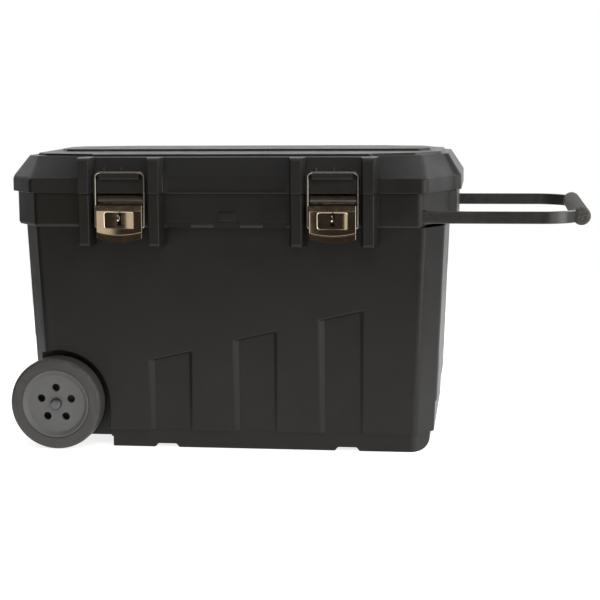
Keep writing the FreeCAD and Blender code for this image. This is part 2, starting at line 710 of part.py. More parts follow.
def make_tub():
    """The moulded tub: body, base band, rim, guards, wheel wells and hinge lugs."""
    rim = rim_plan()
    body = walled([(BAND_TOP, body_at(BAND_TOP, 0)), (RIM_BOTTOM, body_at(RIM_BOTTOM, 0))])
    band = walled([(RIM_BOTTOM, inset(rim, 2.0)), (LEDGE_TOP, rim), (RIM_TOP, rim)])
    posts = [guard(x, GUARD_BOTTOM, RIM_TOP, BODY_HALF_DEPTH - 1, False) for x in guard_centres()]
    boss = box(-BOSS_HALF, BOSS_HALF, -RIM_FACE - BOSS_OUT, -RIM_FACE + 1, BOSS_LOW, BOSS_TOP)
    outer = fused([body, band, base_block(0, 0, BAND_TOP + 1)] + posts + [boss])
    for shape in end_relief(0):
        outer = outer.cut(shape)
    for shape in grooves(0):
        outer = outer.cut(shape)
    outer = outer.cut(end_round(0))
    for centre in NOTCH_CENTRES:
        outer = outer.cut(foot_notch(centre))
    outer = outer.cut(box(-RIM_HALF_LENGTH, FOOT_START, -RIM_HALF_DEPTH, RIM_HALF_DEPTH, -1, UNDERSIDE))
    for x0, x1 in NOTCH_ROW:
        outer = outer.cut(box(x0, x1, -RIM_FACE - 1, -RIM_FACE + NOTCH_ROW_DEPTH,
                              RIM_BOTTOM - 1, NOTCH_ROW_TOP))

    ledge = BAND_TOP + WALL
    hollow = walled([(ledge, body_at(ledge, WALL)), (LEDGE_TOP, body_at(LEDGE_TOP, WALL))])
    pan = base_block(WALL, FLOOR_TOP, ledge + 1).cut(end_round(WALL))
    pan = pan.cut(box(-BODY_HALF_LENGTH, FOOT_START + WALL, -BODY_HALF_DEPTH, BODY_HALF_DEPTH,
                      0, UNDERSIDE + WALL))
    hollow = fused([hollow, pan])
    for shape in end_relief(WALL):
        hollow = hollow.cut(shape)
    for shape in grooves(WALL):
        hollow = hollow.cut(shape)
    hollow = hollow.cut(wheel_space(WALL))
    mouth = walled([(LEDGE_TOP, inset(rim, WALL)), (RIM_TOP + 1, inset(rim, WALL))])
    tub = outer.cut(hollow).cut(mouth).cut(wheel_space(0))
    slot = arm_slot()
    tub = tub.cut(slot).cut(flipped_y(slot))
    for latch_x in (-LATCH_X, LATCH_X):
        for hole in rivet_holes(latch_x):
            tub = tub.cut(hole)
    for shape in hinge_lugs():
        tub = tub.fuse(shape)
    for shape in bracket_screw_holes():
        tub = tub.cut(shape)
    return tub.removeSplitter()


# ---------------------------------------------------------------- lid
def keeper(latch_x):
    """The ledge that a latch bail hooks over, with its three gussets above."""
    face = -LID_FACE
    root = face + LID_BLOCK_LEAN
    ledge = extruded([Vec(latch_x - KEEPER_HALF, face + 1, KEEPER_TOP - KEEPER_H),
                      Vec(latch_x - KEEPER_HALF, face - KEEPER_OUT + 2, KEEPER_TOP - KEEPER_H),
                      Vec(latch_x - KEEPER_HALF, face - KEEPER_OUT, KEEPER_TOP - KEEPER_H + 2),
                      Vec(latch_x - KEEPER_HALF, face - KEEPER_OUT, KEEPER_TOP),
                      Vec(latch_x - KEEPER_HALF, face + LID_FLANGE, KEEPER_TOP)],
                     Vec(2 * KEEPER_HALF, 0, 0))
    gussets = []
    for i in (-1, 0, 1):
        x0 = latch_x + i * GUSSET_PITCH - GUSSET_W / 2
        gussets.append(extruded([Vec(x0, root, KEEPER_TOP - 1),
                                 Vec(x0, face + GUSSET_OUT - 2, KEEPER_TOP - 1),
                                 Vec(x0, face + GUSSET_OUT, KEEPER_TOP + GUSSET_H / 2),
                                 Vec(x0, root, KEEPER_TOP + GUSSET_H)],
                                Vec(GUSSET_W, 0, 0)))
    return [ledge] + gussets


def hinge_knuckles():
    """The lid's hinge knuckles, one at each station, with running bores."""
    knuckles = []
    for station in HINGE_STATIONS:
        x0 = station - KNUCKLE_HALF
        strap = extruded([Vec(x0, LID_HALF_DEPTH - 1, LID_BOTTOM),
                          Vec(x0, HINGE_Y, HINGE_Z),
                          Vec(x0, HINGE_Y + HINGE_R, HINGE_Z),
                          Vec(x0, LID_HALF_DEPTH - 1, HINGE_Z + KNUCKLE_RISE)],
                         Vec(2 * KNUCKLE_HALF, 0, 0))
        barrel = rod(Vec(x0, HINGE_Y, HINGE_Z), X_AXIS, HINGE_R, 2 * KNUCKLE_HALF)
        bore = rod(Vec(x0 - 1, HINGE_Y, HINGE_Z), X_AXIS, HINGE_PIN_R + RUN_GAP, 2 * KNUCKLE_HALF + 2)
        knuckles.append(strap.fuse(barrel).cut(bore).removeSplitter())
    return knuckles


def make_lid():
    """The moulded lid: lip, leaning sides, stepped top, guards, keepers and knuckles."""
    lip = lid_plan()
    top = lid_top_plan()
    shell = walled([(LID_BOTTOM, lip), (LID_BEVEL_START, lip), (LID_TOP, top)])
    tier = walled([(LID_TOP - 1, tier_plan()), (LID_TOP + TIER_RISE, inset(tier_plan(), TIER_BEVEL))])
    crest_base = LID_TOP + TIER_RISE
    crest = walled([(crest_base - 1, crest_plan()),
                    (crest_base + TIER_RISE, inset(crest_plan(), TIER_BEVEL))])
    posts = [guard(x, LID_BOTTOM, LID_TOP + 0.5, LID_FACE - LID_BLOCK_LEAN - 2, True)
             for x in guard_centres()]
    outer = fused([shell, tier, crest] + posts + keeper(-LATCH_X) + keeper(LATCH_X))
    outer = outer.cut(box(-RECESS_HALF, RECESS_HALF, -LID_FACE - 1, -LID_FACE + RECESS_DEPTH,
                          RECESS_LOW, RECESS_TOP))
    flange = walled([(LID_BOTTOM - 1, inset(lip, LID_FLANGE)),
                     (LID_BOTTOM + LID_FLANGE_H, inset(lip, LID_FLANGE))])
    hollow = walled([(LID_BOTTOM + LID_FLANGE_H - 1, inset(lip, WALL)),
                     (LID_BEVEL_START, inset(lip, WALL)),
                     (LID_TOP - WALL, inset(top, WALL))])
    hollow = hollow.cut(box(-LID_HALF_LENGTH, LID_HALF_LENGTH, -LID_FACE, LID_FACE,
                            LID_BOTTOM, LID_BOTTOM + LID_FLANGE_H))
    lid = outer.cut(flange).cut(hollow)
    for shape in hinge_knuckles():
        lid = lid.fuse(shape)
    return lid.removeSplitter()


# ---------------------------------------------------------------- pull handle
def make_handle_frame():
    """The U-shaped flat bar: two arms, two bends and a cross bar, as one extruded outline."""
    out = ARM_Y + ARM_T / 2
    inn = ARM_Y - ARM_T / 2
    mid = ARM_Y - ARM_BEND_R
    outer_r = ARM_BEND_R + ARM_T / 2
    inner_r = ARM_BEND_R - ARM_T / 2
    low = ARM_Z - ARM_H / 2
    slant = math.sqrt(0.5)

    def at(x, y):
        return Vec(x, y, low)

    def bend(sign, radius):
        centre_y = sign * mid
        start = at(ARM_BEND_X, centre_y + sign * radius)
        middle = at(ARM_BEND_X + radius * slant, centre_y + sign * radius * slant)
        end = at(ARM_BEND_X + radius, centre_y)
        return start, middle, end

    front_out = bend(-1, outer_r)
    back_out = bend(1, outer_r)
    front_in = bend(-1, inner_r)
    back_in = bend(1, inner_r)
    edges = [Part.LineSegment(at(ARM_IN, -out), front_out[0]).toShape(),
             Part.Arc(*front_out).toShape(),
             Part.LineSegment(front_out[2], back_out[2]).toShape(),
             Part.Arc(*reversed(back_out)).toShape(),
             Part.LineSegment(back_out[0], at(ARM_IN, out)).toShape(),
             Part.LineSegment(at(ARM_IN, out), at(ARM_IN, inn)).toShape(),
             Part.LineSegment(at(ARM_IN, inn), back_in[0]).toShape(),
             Part.Arc(*back_in).toShape(),
             Part.LineSegment(back_in[2], front_in[2]).toShape(),
             Part.Arc(*reversed(front_in)).toShape(),
             Part.LineSegment(front_in[0], at(ARM_IN, -inn)).toShape(),
             Part.LineSegment(at(ARM_IN, -inn), at(ARM_IN, -out)).toShape()]
    bar = Part.Face(Part.Wire(edges)).extrude(Vec(0, 0, ARM_H))
    long_edges = [edge for edge in bar.Edges if edge.BoundBox.ZLength < 1e-6]
    bar = bar.makeFillet(ARM_EDGE_R, long_edges)
    for hole in stop_pins():
        bar = bar.cut(hole)
    return bar


def stop_pins():
    """Pins at the arms' inner ends, which run in the guides' slots."""
    x = ARM_IN + STOP_PIN_INSET
    length = ARM_T + GUIDE_GAP + GUIDE_T
    front = rod(Vec(x, -ARM_Y - ARM_T / 2, ARM_Z), Y_AXIS, STOP_PIN_R, length)
    return [front, flipped_y(front)]


def make_grip():
    """The round grip over the cross bar."""
    bar = rod(Vec(GRIP_X, -GRIP_HALF, ARM_Z), Y_AXIS, GRIP_R, 2 * GRIP_HALF)
    ends = [edge for edge in bar.Edges if edge.Curve.TypeId == "Part::GeomCircle"]
    bar = bar.makeFillet(GRIP_ROUND, ends)
    return bar.cut(make_handle_frame())


def make_guide():
    """The front handle guide: a C channel on a foot, slotted for the stop pin."""
    outer = -RIM_HALF_DEPTH + WALL + 0.2
    leg = -ARM_Y + ARM_T / 2 + GUIDE_GAP
    floor = ARM_Z - ARM_H / 2 - SEAT_GAP
    roof = ARM_Z + ARM_H / 2 + ARM_SLOT_GAP
    foot = box(GUIDE_START, GUIDE_END, outer, leg + GUIDE_T + GUIDE_FOOT, SHELF_TOP, floor)
    web = box(GUIDE_START, GUIDE_END, leg, leg + GUIDE_T, SHELF_TOP, roof + GUIDE_T)
    top = box(GUIDE_START, GUIDE_END, outer, leg + GUIDE_T, roof, roof + GUIDE_T)
    channel = fused([foot, web, top])
    pin_out = ARM_IN + STOP_PIN_INSET
    pin_in = pin_out - HANDLE_TRAVEL
    slot_r = STOP_PIN_R + SEAT_GAP
    slot = box(pin_in, pin_out, leg - 1, leg + GUIDE_T + 1, ARM_Z - slot_r, ARM_Z + slot_r)
    ends = [rod(Vec(x, leg - 1, ARM_Z), Y_AXIS, slot_r, GUIDE_T + 2) for x in (pin_in, pin_out)]
    channel = channel.cut(fused([slot] + ends))
    for x, y in guide_screw_spots():
        channel = channel.cut(rod(Vec(x, y, SHELF_TOP - 1), Z_AXIS, GUIDE_SCREW_R, OUTSIDE))
    return channel


def make_guide_screws():
    """Pan-head screws that hold both guides to their shelves."""
    floor = ARM_Z - ARM_H / 2 - SEAT_GAP
    start = SHELF_TOP - SHELF_T - 2
    screws = []
    for x, y in guide_screw_spots():
        shank = rod(Vec(x, y, start), Z_AXIS, GUIDE_SCREW_R, floor - start)
        head = rod(Vec(x, y, floor), Z_AXIS, GUIDE_SCREW_HEAD_R, GUIDE_SCREW_HEAD_T)
        screw = fused([shank, head])
        screws += [screw, flipped_y(screw)]
    return group(screws)


# ---------------------------------------------------------------- wheels and axle
def turned(profile, centre_x):
    """A solid of revolution about the axle's line, from (radius, y) points."""
    points = [Vec(centre_x, y, WHEEL_R + radius) for radius, y in profile]
    return flat_face(points).revolve(Vec(centre_x, 0, WHEEL_R), Y_AXIS, 360)


def make_tyre():
    """The front wheel's tyre, with rounded shoulders."""
    outer = -WHEEL_FACE
    inner = -WHEEL_FACE + TYRE_WIDTH
    s = TYRE_SHOULDER
    profile = [(HUB_R, inner), (HUB_R, outer + 1), (HUB_R + 2, outer), (WHEEL_R - s, outer),
               (WHEEL_R - s * 0.3, outer + s * 0.5), (WHEEL_R, outer + s * 1.6),
               (WHEEL_R, inner - s * 1.6), (WHEEL_R - s * 0.3, inner - s * 0.5), (WHEEL_R - s, inner)]
    return turned(profile, WHEEL_X)


def bracket_outer():
    """Outer end of an axle bracket, from the chest's middle."""
    return WHEEL_FACE - TYRE_WIDTH - WELL_GAP - SIDE_GAP


def make_hub():
    """The front wheel's hub: rim, dished web with five holes, and boss."""
    face = -WHEEL_FACE + 0.5
    inner = -WHEEL_FACE + TYRE_WIDTH
    web_out = -WHEEL_FACE + HUB_RECESS
    boss_in = -bracket_outer() - WASHER_T - 2 * SEAT_GAP
    bore = AXLE_R + RUN_GAP
    profile = [(HUB_R, face), (HUB_R - 2, face), (HUB_R - HUB_BEVEL - 2, web_out), (bore, web_out),
               (bore, boss_in), (HUB_BOSS_R, boss_in), (HUB_BOSS_R, web_out + HUB_WEB),
               (HUB_R - HUB_RIM, web_out + HUB_WEB), (HUB_R - HUB_RIM, inner), (HUB_R, inner)]
    hub = turned(profile, WHEEL_X)
    for i in range(HUB_HOLES):
        angle = math.radians(90 + i * 360 / HUB_HOLES)
        x = WHEEL_X + HUB_HOLE_PCD / 2 * math.cos(angle)
        z = WHEEL_R + HUB_HOLE_PCD / 2 * math.sin(angle)
        hub = hub.cut(rod(Vec(x, web_out - 1, z), Y_AXIS, HUB_HOLE_R, HUB_WEB + 2))
    return hub


def axle_end():
    """Where the axle ends, from the chest's middle."""
    return WHEEL_FACE - HUB_RECESS + CAP_LENGTH - CAP_DOME - 1


def make_axle():
    """The steel axle."""
    return rod(Vec(WHEEL_X, -axle_end(), WHEEL_R), Y_AXIS, AXLE_R, 2 * axle_end())


def make_axle_caps():
    """Domed push caps on both axle ends."""
    start = -WHEEL_FACE + HUB_RECESS - SEAT_GAP
    top = start - CAP_LENGTH
    profile = [(0, -axle_end()), (AXLE_R, -axle_end()), (AXLE_R, start), (CAP_R, start),
               (CAP_R, top + CAP_DOME), (CAP_R - 1, top + CAP_DOME / 3), (CAP_R / 2, top), (0, top)]
    cap = turned(profile, WHEEL_X)
    return group([cap, flipped_y(cap)])


def make_washers():
    """Washers between the brackets and the hubs."""
    start = -bracket_outer()
    front = rod(Vec(WHEEL_X, start - WASHER_T - SEAT_GAP, WHEEL_R), Y_AXIS, WASHER_R, WASHER_T)
    front = front.cut(rod(Vec(WHEEL_X, start - OUTSIDE, WHEEL_R), Y_AXIS, AXLE_R, 2 * OUTSIDE))
    return group([front, flipped_y(front)])


def bracket_screw_spots():
    """Axes of the bracket screws, at the front bracket."""
    middle = -bracket_outer() + BRACKET_LENGTH / 2
    return [(WHEEL_X + sign * BRACKET_SCREW_PITCH / 2, middle) for sign in (-1, 1)]


def make_brackets():
    """The blocks that hang from the channel's roof and hold the axle."""
    roof = WHEEL_R + CHANNEL_TOP
    start = -bracket_outer()
    block = box(WHEEL_X - BRACKET_HALF, WHEEL_X + BRACKET_HALF, start, start + BRACKET_LENGTH,
                WHEEL_R - BRACKET_LOW, roof)
    block = block.cut(rod(Vec(WHEEL_X, start - 1, WHEEL_R), Y_AXIS, AXLE_R, BRACKET_LENGTH + 2))
    for x, y in bracket_screw_spots():
        block = block.cut(rod(Vec(x, y, 0), Z_AXIS, BRACKET_SCREW_R, roof + 1))
    return group([block, flipped_y(block)])


def bracket_screw_holes():
    """Holes in the tub's floor for the bracket screws."""
    roof = WHEEL_R + CHANNEL_TOP
    front = [rod(Vec(x, y, roof - 1), Z_AXIS, BRACKET_SCREW_R, WALL + 2)
             for x, y in bracket_screw_spots()]
    return front + [flipped_y(shape) for shape in front]


def make_bracket_screws():
    """Screws up through the brackets into the tub's floor."""
    low = WHEEL_R - BRACKET_LOW
    length = BRACKET_LOW + CHANNEL_TOP + WALL
    screws = []
    for x, y in bracket_screw_spots():
        shank = rod(Vec(x, y, low), Z_AXIS, BRACKET_SCREW_R, length)
        head = rod(Vec(x, y, low - BRACKET_SCREW_R), Z_AXIS, 2 * BRACKET_SCREW_R, BRACKET_SCREW_R)
        screw = fused([shank, head])
        screws += [screw, flipped_y(screw)]
    return group(screws)


# ---------------------------------------------------------------- draw latches
def make_latch_base(latch_x):
    """The plate riveted to the rim, with two ears for the lever's pin."""
    face = -RIM_FACE
    top = RIM_TOP - BASE_TOP_GAP
    front = face - BASE_T
    side = [(face, BASE_LOW), (face, top), (front, top), (front - 0.7 * BULGE_OUT, top - 0.15 * BULGE_H),
            (front - BULGE_OUT, top - 0.4 * BULGE_H), (front - BULGE_OUT, top - 0.6 * BULGE_H),
            (front - 0.7 * BULGE_OUT, top - 0.85 * BULGE_H), (front, top - BULGE_H), (front, BASE_LOW)]
    sheet = extruded([Vec(latch_x - BASE_HALF, y, z) for y, z in side], Vec(2 * BASE_HALF, 0, 0))
    blank = box(latch_x - BASE_HALF, latch_x + BASE_HALF, front - BULGE_OUT, face, BASE_LOW, top)
    corners = [edge for edge in blank.Edges
               if edge.BoundBox.YLength > BASE_T and edge.BoundBox.ZMin > top - 1]
    plate = blank.makeFillet(BASE_CORNER_R, corners).common(sheet)
    ears = []
    ear_out = LEVER_HALF - LEVER_T - SIDE_GAP
    for sign in (-1, 1):
        x0 = latch_x + sign * ear_out - (EAR_T if sign > 0 else 0)
        root = face - BASE_T / 2
        tab = extruded([Vec(x0, PIN_Y, PIN_Z), Vec(x0, PIN_Y, PIN_Z - EAR_R),
                        Vec(x0, root, PIN_Z - EAR_DROP), Vec(x0, root, PIN_Z - EAR_SHOULDER),
                        Vec(x0, PIN_Y + 0.9 * EAR_R, PIN_Z)], Vec(EAR_T, 0, 0))
        nose = rod(Vec(x0, PIN_Y, PIN_Z), X_AXIS, EAR_R, EAR_T)
        ears.append(tab.fuse(nose))
    base = fused([plate] + ears)
    base = base.cut(rod(Vec(latch_x - BASE_HALF, PIN_Y, PIN_Z), X_AXIS, PIN_R, 2 * BASE_HALF))
    for hole in rivet_holes(latch_x):
        base = base.cut(hole)
    return base


def lever_profile():
    """Side outline of the lever's plate, as (y, z) points: front face, then back face."""
    face = LEVER_FACE
    top = PIN_Z + LEVER_TOP
    lip = LEVER_LOW - LEVER_LIP
    front = [(face + LEVER_ROLL_IN, top), (face + LEVER_ROLL_EASE, top - LEVER_ROLL_H / 2),
             (face, top - LEVER_ROLL_H), (face, LEVER_LOW + LIP_RISE),
             (face - LIP_EASE, LEVER_LOW + LIP_EASE_H), (face - LIP_FLARE, lip)]
    back = [(y + LEVER_T, z - LEVER_SKEW) for y, z in reversed(front)]
    return front + back


def make_lever(latch_x):
    """The lever: a pressed plate with a sunk window, slot, flared lip and side flanges."""
    x0 = latch_x - LEVER_HALF
    plate = extruded([Vec(x0, y, z) for y, z in lever_profile()], Vec(2 * LEVER_HALF, 0, 0))
    sag_r = (LEVER_HALF ** 2 + LEVER_SAG ** 2) / (2 * LEVER_SAG)
    low = LEVER_LOW - LEVER_LIP - 1
    cutter = box(x0 - 1, latch_x + LEVER_HALF + 1, LEVER_FACE - OUTSIDE, LEVER_FACE + OUTSIDE,
                 low - 10, low + LEVER_SAG)
    round_end = rod(Vec(latch_x, LEVER_FACE - OUTSIDE, low + sag_r), Y_AXIS, sag_r, 2 * OUTSIDE)
    plate = plate.cut(cutter.cut(round_end))
    flanges = []
    for sign in (-1, 1):
        fx = latch_x + sign * LEVER_HALF - (LEVER_T if sign > 0 else 0)
        tail_z = BAIL_PIVOT_Z - 5.0
        flange = extruded([Vec(fx, LEVER_FACE + LEVER_T / 2, PIN_Z + 1.0),
                           Vec(fx, PIN_Y, PIN_Z + 1.0),
                           Vec(fx, PIN_Y + LEVER_BACK, PIN_Z),
                           Vec(fx, PIN_Y + LEVER_BACK, BAIL_PIVOT_Z),
                           Vec(fx, PIN_Y + LEVER_BACK / 2, tail_z),
                           Vec(fx, LEVER_FACE + LEVER_T / 2, LEVER_LOW + 8.0)],
                          Vec(LEVER_T, 0, 0))
        eye = rod(Vec(fx, PIN_Y, PIN_Z), X_AXIS, LEVER_TOP - 1, LEVER_T)
        flanges.append(flange.fuse(eye))
    lever = fused([plate] + flanges)
    span = 2 * LEVER_HALF + 2
    lever = lever.cut(rod(Vec(x0 - 1, PIN_Y, PIN_Z), X_AXIS, PIN_R + RUN_GAP, span))
    lever = lever.cut(rod(Vec(x0 - 1, BAIL_PIVOT_Y, BAIL_PIVOT_Z), X_AXIS, BAIL_R + RUN_GAP, span))
    half = WINDOW_HALF + LEVER_T
    back = LEVER_FACE + WINDOW_DEPTH + LEVER_T
    pan = box(latch_x - half, latch_x + half, LEVER_FACE, back, WINDOW_LOW - LEVER_T,
              WINDOW_TOP + LEVER_T)
    window = box(latch_x - WINDOW_HALF, latch_x + WINDOW_HALF, LEVER_FACE - 1,
                 LEVER_FACE + WINDOW_DEPTH, WINDOW_LOW, WINDOW_TOP)
    slot = box(latch_x - SLOT_HALF, latch_x + SLOT_HALF, LEVER_FACE - 1, back + 1, SLOT_LOW, SLOT_TOP)
    return lever.fuse(pan).cut(window).cut(slot).removeSplitter()


def make_latch_pin(latch_x):
    """The lever's pin."""
    half = LEVER_HALF + 0.2
    return rod(Vec(latch_x - half, PIN_Y, PIN_Z), X_AXIS, PIN_R, 2 * half)


def make_staple(latch_x):
    """The padlock staple that stands out through the lever's slot."""
    face = -RIM_FACE - BASE_T
    blade = box(latch_x - STAPLE_T / 2, latch_x + STAPLE_T / 2, face - STAPLE_OUT, face,
                STAPLE_LOW, STAPLE_TOP)
    upright = [edge for edge in blade.Edges
               if edge.BoundBox.XLength > STAPLE_T / 2 and edge.BoundBox.YMin < face - 1]
    blade = blade.makeFillet(STAPLE_CORNER_R, upright)
    centre = Vec(latch_x - STAPLE_T, face - STAPLE_OUT + STAPLE_HOLE_R + STAPLE_RIM,
                 (STAPLE_LOW + STAPLE_TOP) / 2)
    return blade.cut(rod(centre, X_AXIS, STAPLE_HOLE_R, 2 * STAPLE_T))


def make_bail(latch_x):
    """The wire bail: pivot ends, legs and top bar with rounded corners."""
    tip = LEVER_HALF - LEVER_T - 1.0

    def at(x, y, z):
        return Vec(latch_x + x, y, z)

    lean = (BAIL_BAR_Y - BAIL_PIVOT_Y) / (BAIL_BAR_Z - BAIL_PIVOT_Z)
    foot_r = BAIL_R + 0.5
    up = Vec(0, lean, 1)
    up.normalize()
    slant = 1 - math.sqrt(0.5)
    pieces = []
    for sign in (-1, 1):
        side = Vec(sign, 0, 0)
        foot = at(sign * BAIL_HALF, BAIL_PIVOT_Y, BAIL_PIVOT_Z)
        head = at(sign * BAIL_HALF, BAIL_BAR_Y, BAIL_BAR_Z)
        pieces.append((Part.LineSegment(at(sign * tip, BAIL_PIVOT_Y, BAIL_PIVOT_Z),
                                        foot - side * foot_r).toShape(),
                       Part.Arc(foot - side * foot_r,
                                foot - side * foot_r * slant + up * foot_r * slant,
                                foot + up * foot_r).toShape(),
                       Part.LineSegment(foot + up * foot_r, head - up * BAIL_CORNER).toShape(),
                       Part.Arc(head - up * BAIL_CORNER,
                                head - (up + side) * BAIL_CORNER * slant,
                                head - side * BAIL_CORNER).toShape()))
    left, right = pieces
    bar = Part.LineSegment(at(-BAIL_HALF + BAIL_CORNER, BAIL_BAR_Y, BAIL_BAR_Z),
                           at(BAIL_HALF - BAIL_CORNER, BAIL_BAR_Y, BAIL_BAR_Z)).toShape()
    path = Part.Wire(list(left) + [bar] + list(reversed(right)))
    circle = Part.Wire(Part.makeCircle(BAIL_R, at(-tip, BAIL_PIVOT_Y, BAIL_PIVOT_Z), X_AXIS))
    return path.makePipeShell([circle], True, True)


def make_rivets(latch_x):
    """Rivets through the base plate and the rim."""
    front = -RIM_FACE - BASE_T
    back = -RIM_FACE + WALL
    rivets = []
    for sign in (-1, 1):
        for drop in RIVET_DROPS:
            x = latch_x + sign * RIVET_X
            z = PIN_Z - drop
            shank = rod(Vec(x, front - 0.5, z), Y_AXIS, RIVET_R, back - front + 1)
            head = rod(Vec(x, front - RIVET_HEAD_T, z), Y_AXIS, RIVET_HEAD_R, RIVET_HEAD_T)
            tail = rod(Vec(x, back, z), Y_AXIS, RIVET_HEAD_R, RIVET_HEAD_T)
            rivets.append(fused([shank, head, tail]))
    return group(rivets)


# ---------------------------------------------------------------- hinge pins and tray
def make_hinge_pins():
    """One steel pin at each hinge station."""
    half = KNUCKLE_HALF + SIDE_GAP + LUG_WIDTH
    return group([rod(Vec(x - half, HINGE_Y, HINGE_Z), X_AXIS, HINGE_PIN_R, 2 * half)
                  for x in HINGE_STATIONS])


def tray_outline(grow):
    """Plan of the tray, moved inwards by grow."""
    half = tray_half_depth()
    right = TRAY_LEFT + TRAY_LENGTH
    return inset([(TRAY_LEFT, -half), (right, -half), (right, half), (TRAY_LEFT, half)], grow)


def make_tray():
    """The open tray that slides on the runners."""
    low = TRAY_FLOOR_Z + SEAT_GAP
    top = low + TRAY_HEIGHT
    shell = walled([(low, tray_outline(0)), (top, tray_outline(0))], TRAY_CORNER)
    hollow = walled([(low + TRAY_WALL, tray_outline(TRAY_WALL)), (top + 1, tray_outline(TRAY_WALL))],
                    TRAY_CORNER - TRAY_WALL)
    return shell.cut(hollow)


def make_dividers():
    """Cross walls that stand in the tray."""
    half = tray_half_depth() - TRAY_WALL
    low = TRAY_FLOOR_Z + SEAT_GAP + TRAY_WALL
    return group([box(TRAY_LEFT + x, TRAY_LEFT + x + DIVIDER_T, -half, half, low, low + DIVIDER_H)
                  for x in DIVIDERS])


# ---------------------------------------------------------------- all nodes
def all_nodes():
    """Every node's name and shape."""
    tyre = make_tyre()
    hub = make_hub()
    guide = make_guide()
    shelf = make_shelf()
    rail = make_tray_rail()
    nodes = {
        "tub": make_tub(), "lid": make_lid(), "hinge_pins": make_hinge_pins(),
        "handle_frame": make_handle_frame(), "handle_grip": make_grip(),
        "handle_stop_pins": group(stop_pins()),
        "arm_guide_front": guide, "arm_guide_back": flipped_y(guide),
        "arm_guide_screws": make_guide_screws(),
        "arm_shelf_front": shelf, "arm_shelf_back": flipped_y(shelf),
        "tray_rail_front": rail, "tray_rail_back": flipped_y(rail),
        "tyre_front": tyre, "tyre_back": flipped_y(tyre), "hub_front": hub, "hub_back": flipped_y(hub),
        "axle": make_axle(), "axle_caps": make_axle_caps(), "axle_washers": make_washers(),
        "axle_brackets": make_brackets(), "axle_bracket_screws": make_bracket_screws(),
        "tray": make_tray(), "tray_dividers": make_dividers(),
    }
    for side, latch_x in (("left", -LATCH_X), ("right", LATCH_X)):
        nodes["latch_base_" + side] = make_latch_base(latch_x)
        nodes["latch_lever_" + side] = make_lever(latch_x)
        nodes["latch_pin_" + side] = make_latch_pin(latch_x)
        nodes["latch_bail_" + side] = make_bail(latch_x)
        nodes["padlock_staple_" + side] = make_staple(latch_x)
        nodes["latch_rivets_" + side] = make_rivets(latch_x)
    return nodes


os.makedirs("parts", exist_ok=True)
for node_name, node_shape in all_nodes().items():
    node_shape.exportStep("parts/" + node_name + ".step")
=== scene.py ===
"""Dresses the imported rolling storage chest: soft edges, pressed detail, finishes, studio."""

import json
import logging
import math
from dataclasses import dataclass
from enum import Enum
from typing import Callable

import bmesh
import bpy
from mathutils import Matrix, Vector
from mathutils.bvhtree import BVHTree
from mathutils.kdtree import KDTree

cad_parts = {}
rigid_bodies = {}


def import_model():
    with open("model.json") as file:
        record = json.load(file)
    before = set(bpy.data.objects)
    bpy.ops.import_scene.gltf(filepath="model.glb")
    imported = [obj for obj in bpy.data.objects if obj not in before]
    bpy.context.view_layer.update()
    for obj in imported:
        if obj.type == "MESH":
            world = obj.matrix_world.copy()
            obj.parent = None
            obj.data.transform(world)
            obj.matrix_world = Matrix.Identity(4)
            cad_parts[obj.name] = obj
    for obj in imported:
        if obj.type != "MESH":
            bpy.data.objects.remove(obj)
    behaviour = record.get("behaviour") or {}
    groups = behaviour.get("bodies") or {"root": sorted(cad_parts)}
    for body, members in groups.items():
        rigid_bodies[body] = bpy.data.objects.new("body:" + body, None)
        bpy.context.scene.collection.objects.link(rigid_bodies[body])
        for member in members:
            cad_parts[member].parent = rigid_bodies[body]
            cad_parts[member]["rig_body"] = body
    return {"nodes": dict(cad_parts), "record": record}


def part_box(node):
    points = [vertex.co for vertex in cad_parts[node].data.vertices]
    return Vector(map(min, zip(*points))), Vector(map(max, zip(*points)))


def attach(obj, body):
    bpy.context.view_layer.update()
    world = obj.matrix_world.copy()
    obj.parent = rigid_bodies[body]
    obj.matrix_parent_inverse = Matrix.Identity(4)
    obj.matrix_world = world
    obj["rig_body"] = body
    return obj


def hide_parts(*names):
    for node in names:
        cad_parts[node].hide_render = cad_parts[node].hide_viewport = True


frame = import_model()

LOG = logging.getLogger("chest")
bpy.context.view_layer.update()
MM = 0.001
FRAME_PIXELS = 600
CRISP = math.radians(28)
FLAT_FACE_WEIGHT = 60
TINY = 1e-18

Colour = tuple[float, float, float]
Point = tuple[float, float, float]
Span = tuple[float, float]
Field = bpy.types.NodeSocket

MIDDLE: Span = (0.3, 0.7)
UNSTRETCHED: Point = (1.0, 1.0, 1.0)
WHITE = (1.0, 1.0, 1.0, 1.0)


class Side(Enum):
    """The two sides that latches come in, as the CAD nodes spell them."""

    LEFT = "left"
    RIGHT = "right"


class End(Enum):
    """The chest's front and back, as the CAD nodes spell them."""

    FRONT = "front"
    BACK = "back"


# ---------------------------------------------------------------- finishes


@dataclass(frozen=True)
class Grain:
    """Settings of a noise field: blotch size in metres, octaves, their weight, warp, stretch."""

    size: float
    detail: float = 3.0
    rough: float = 0.55
    warp: float = 0.0
    stretch: Point = UNSTRETCHED


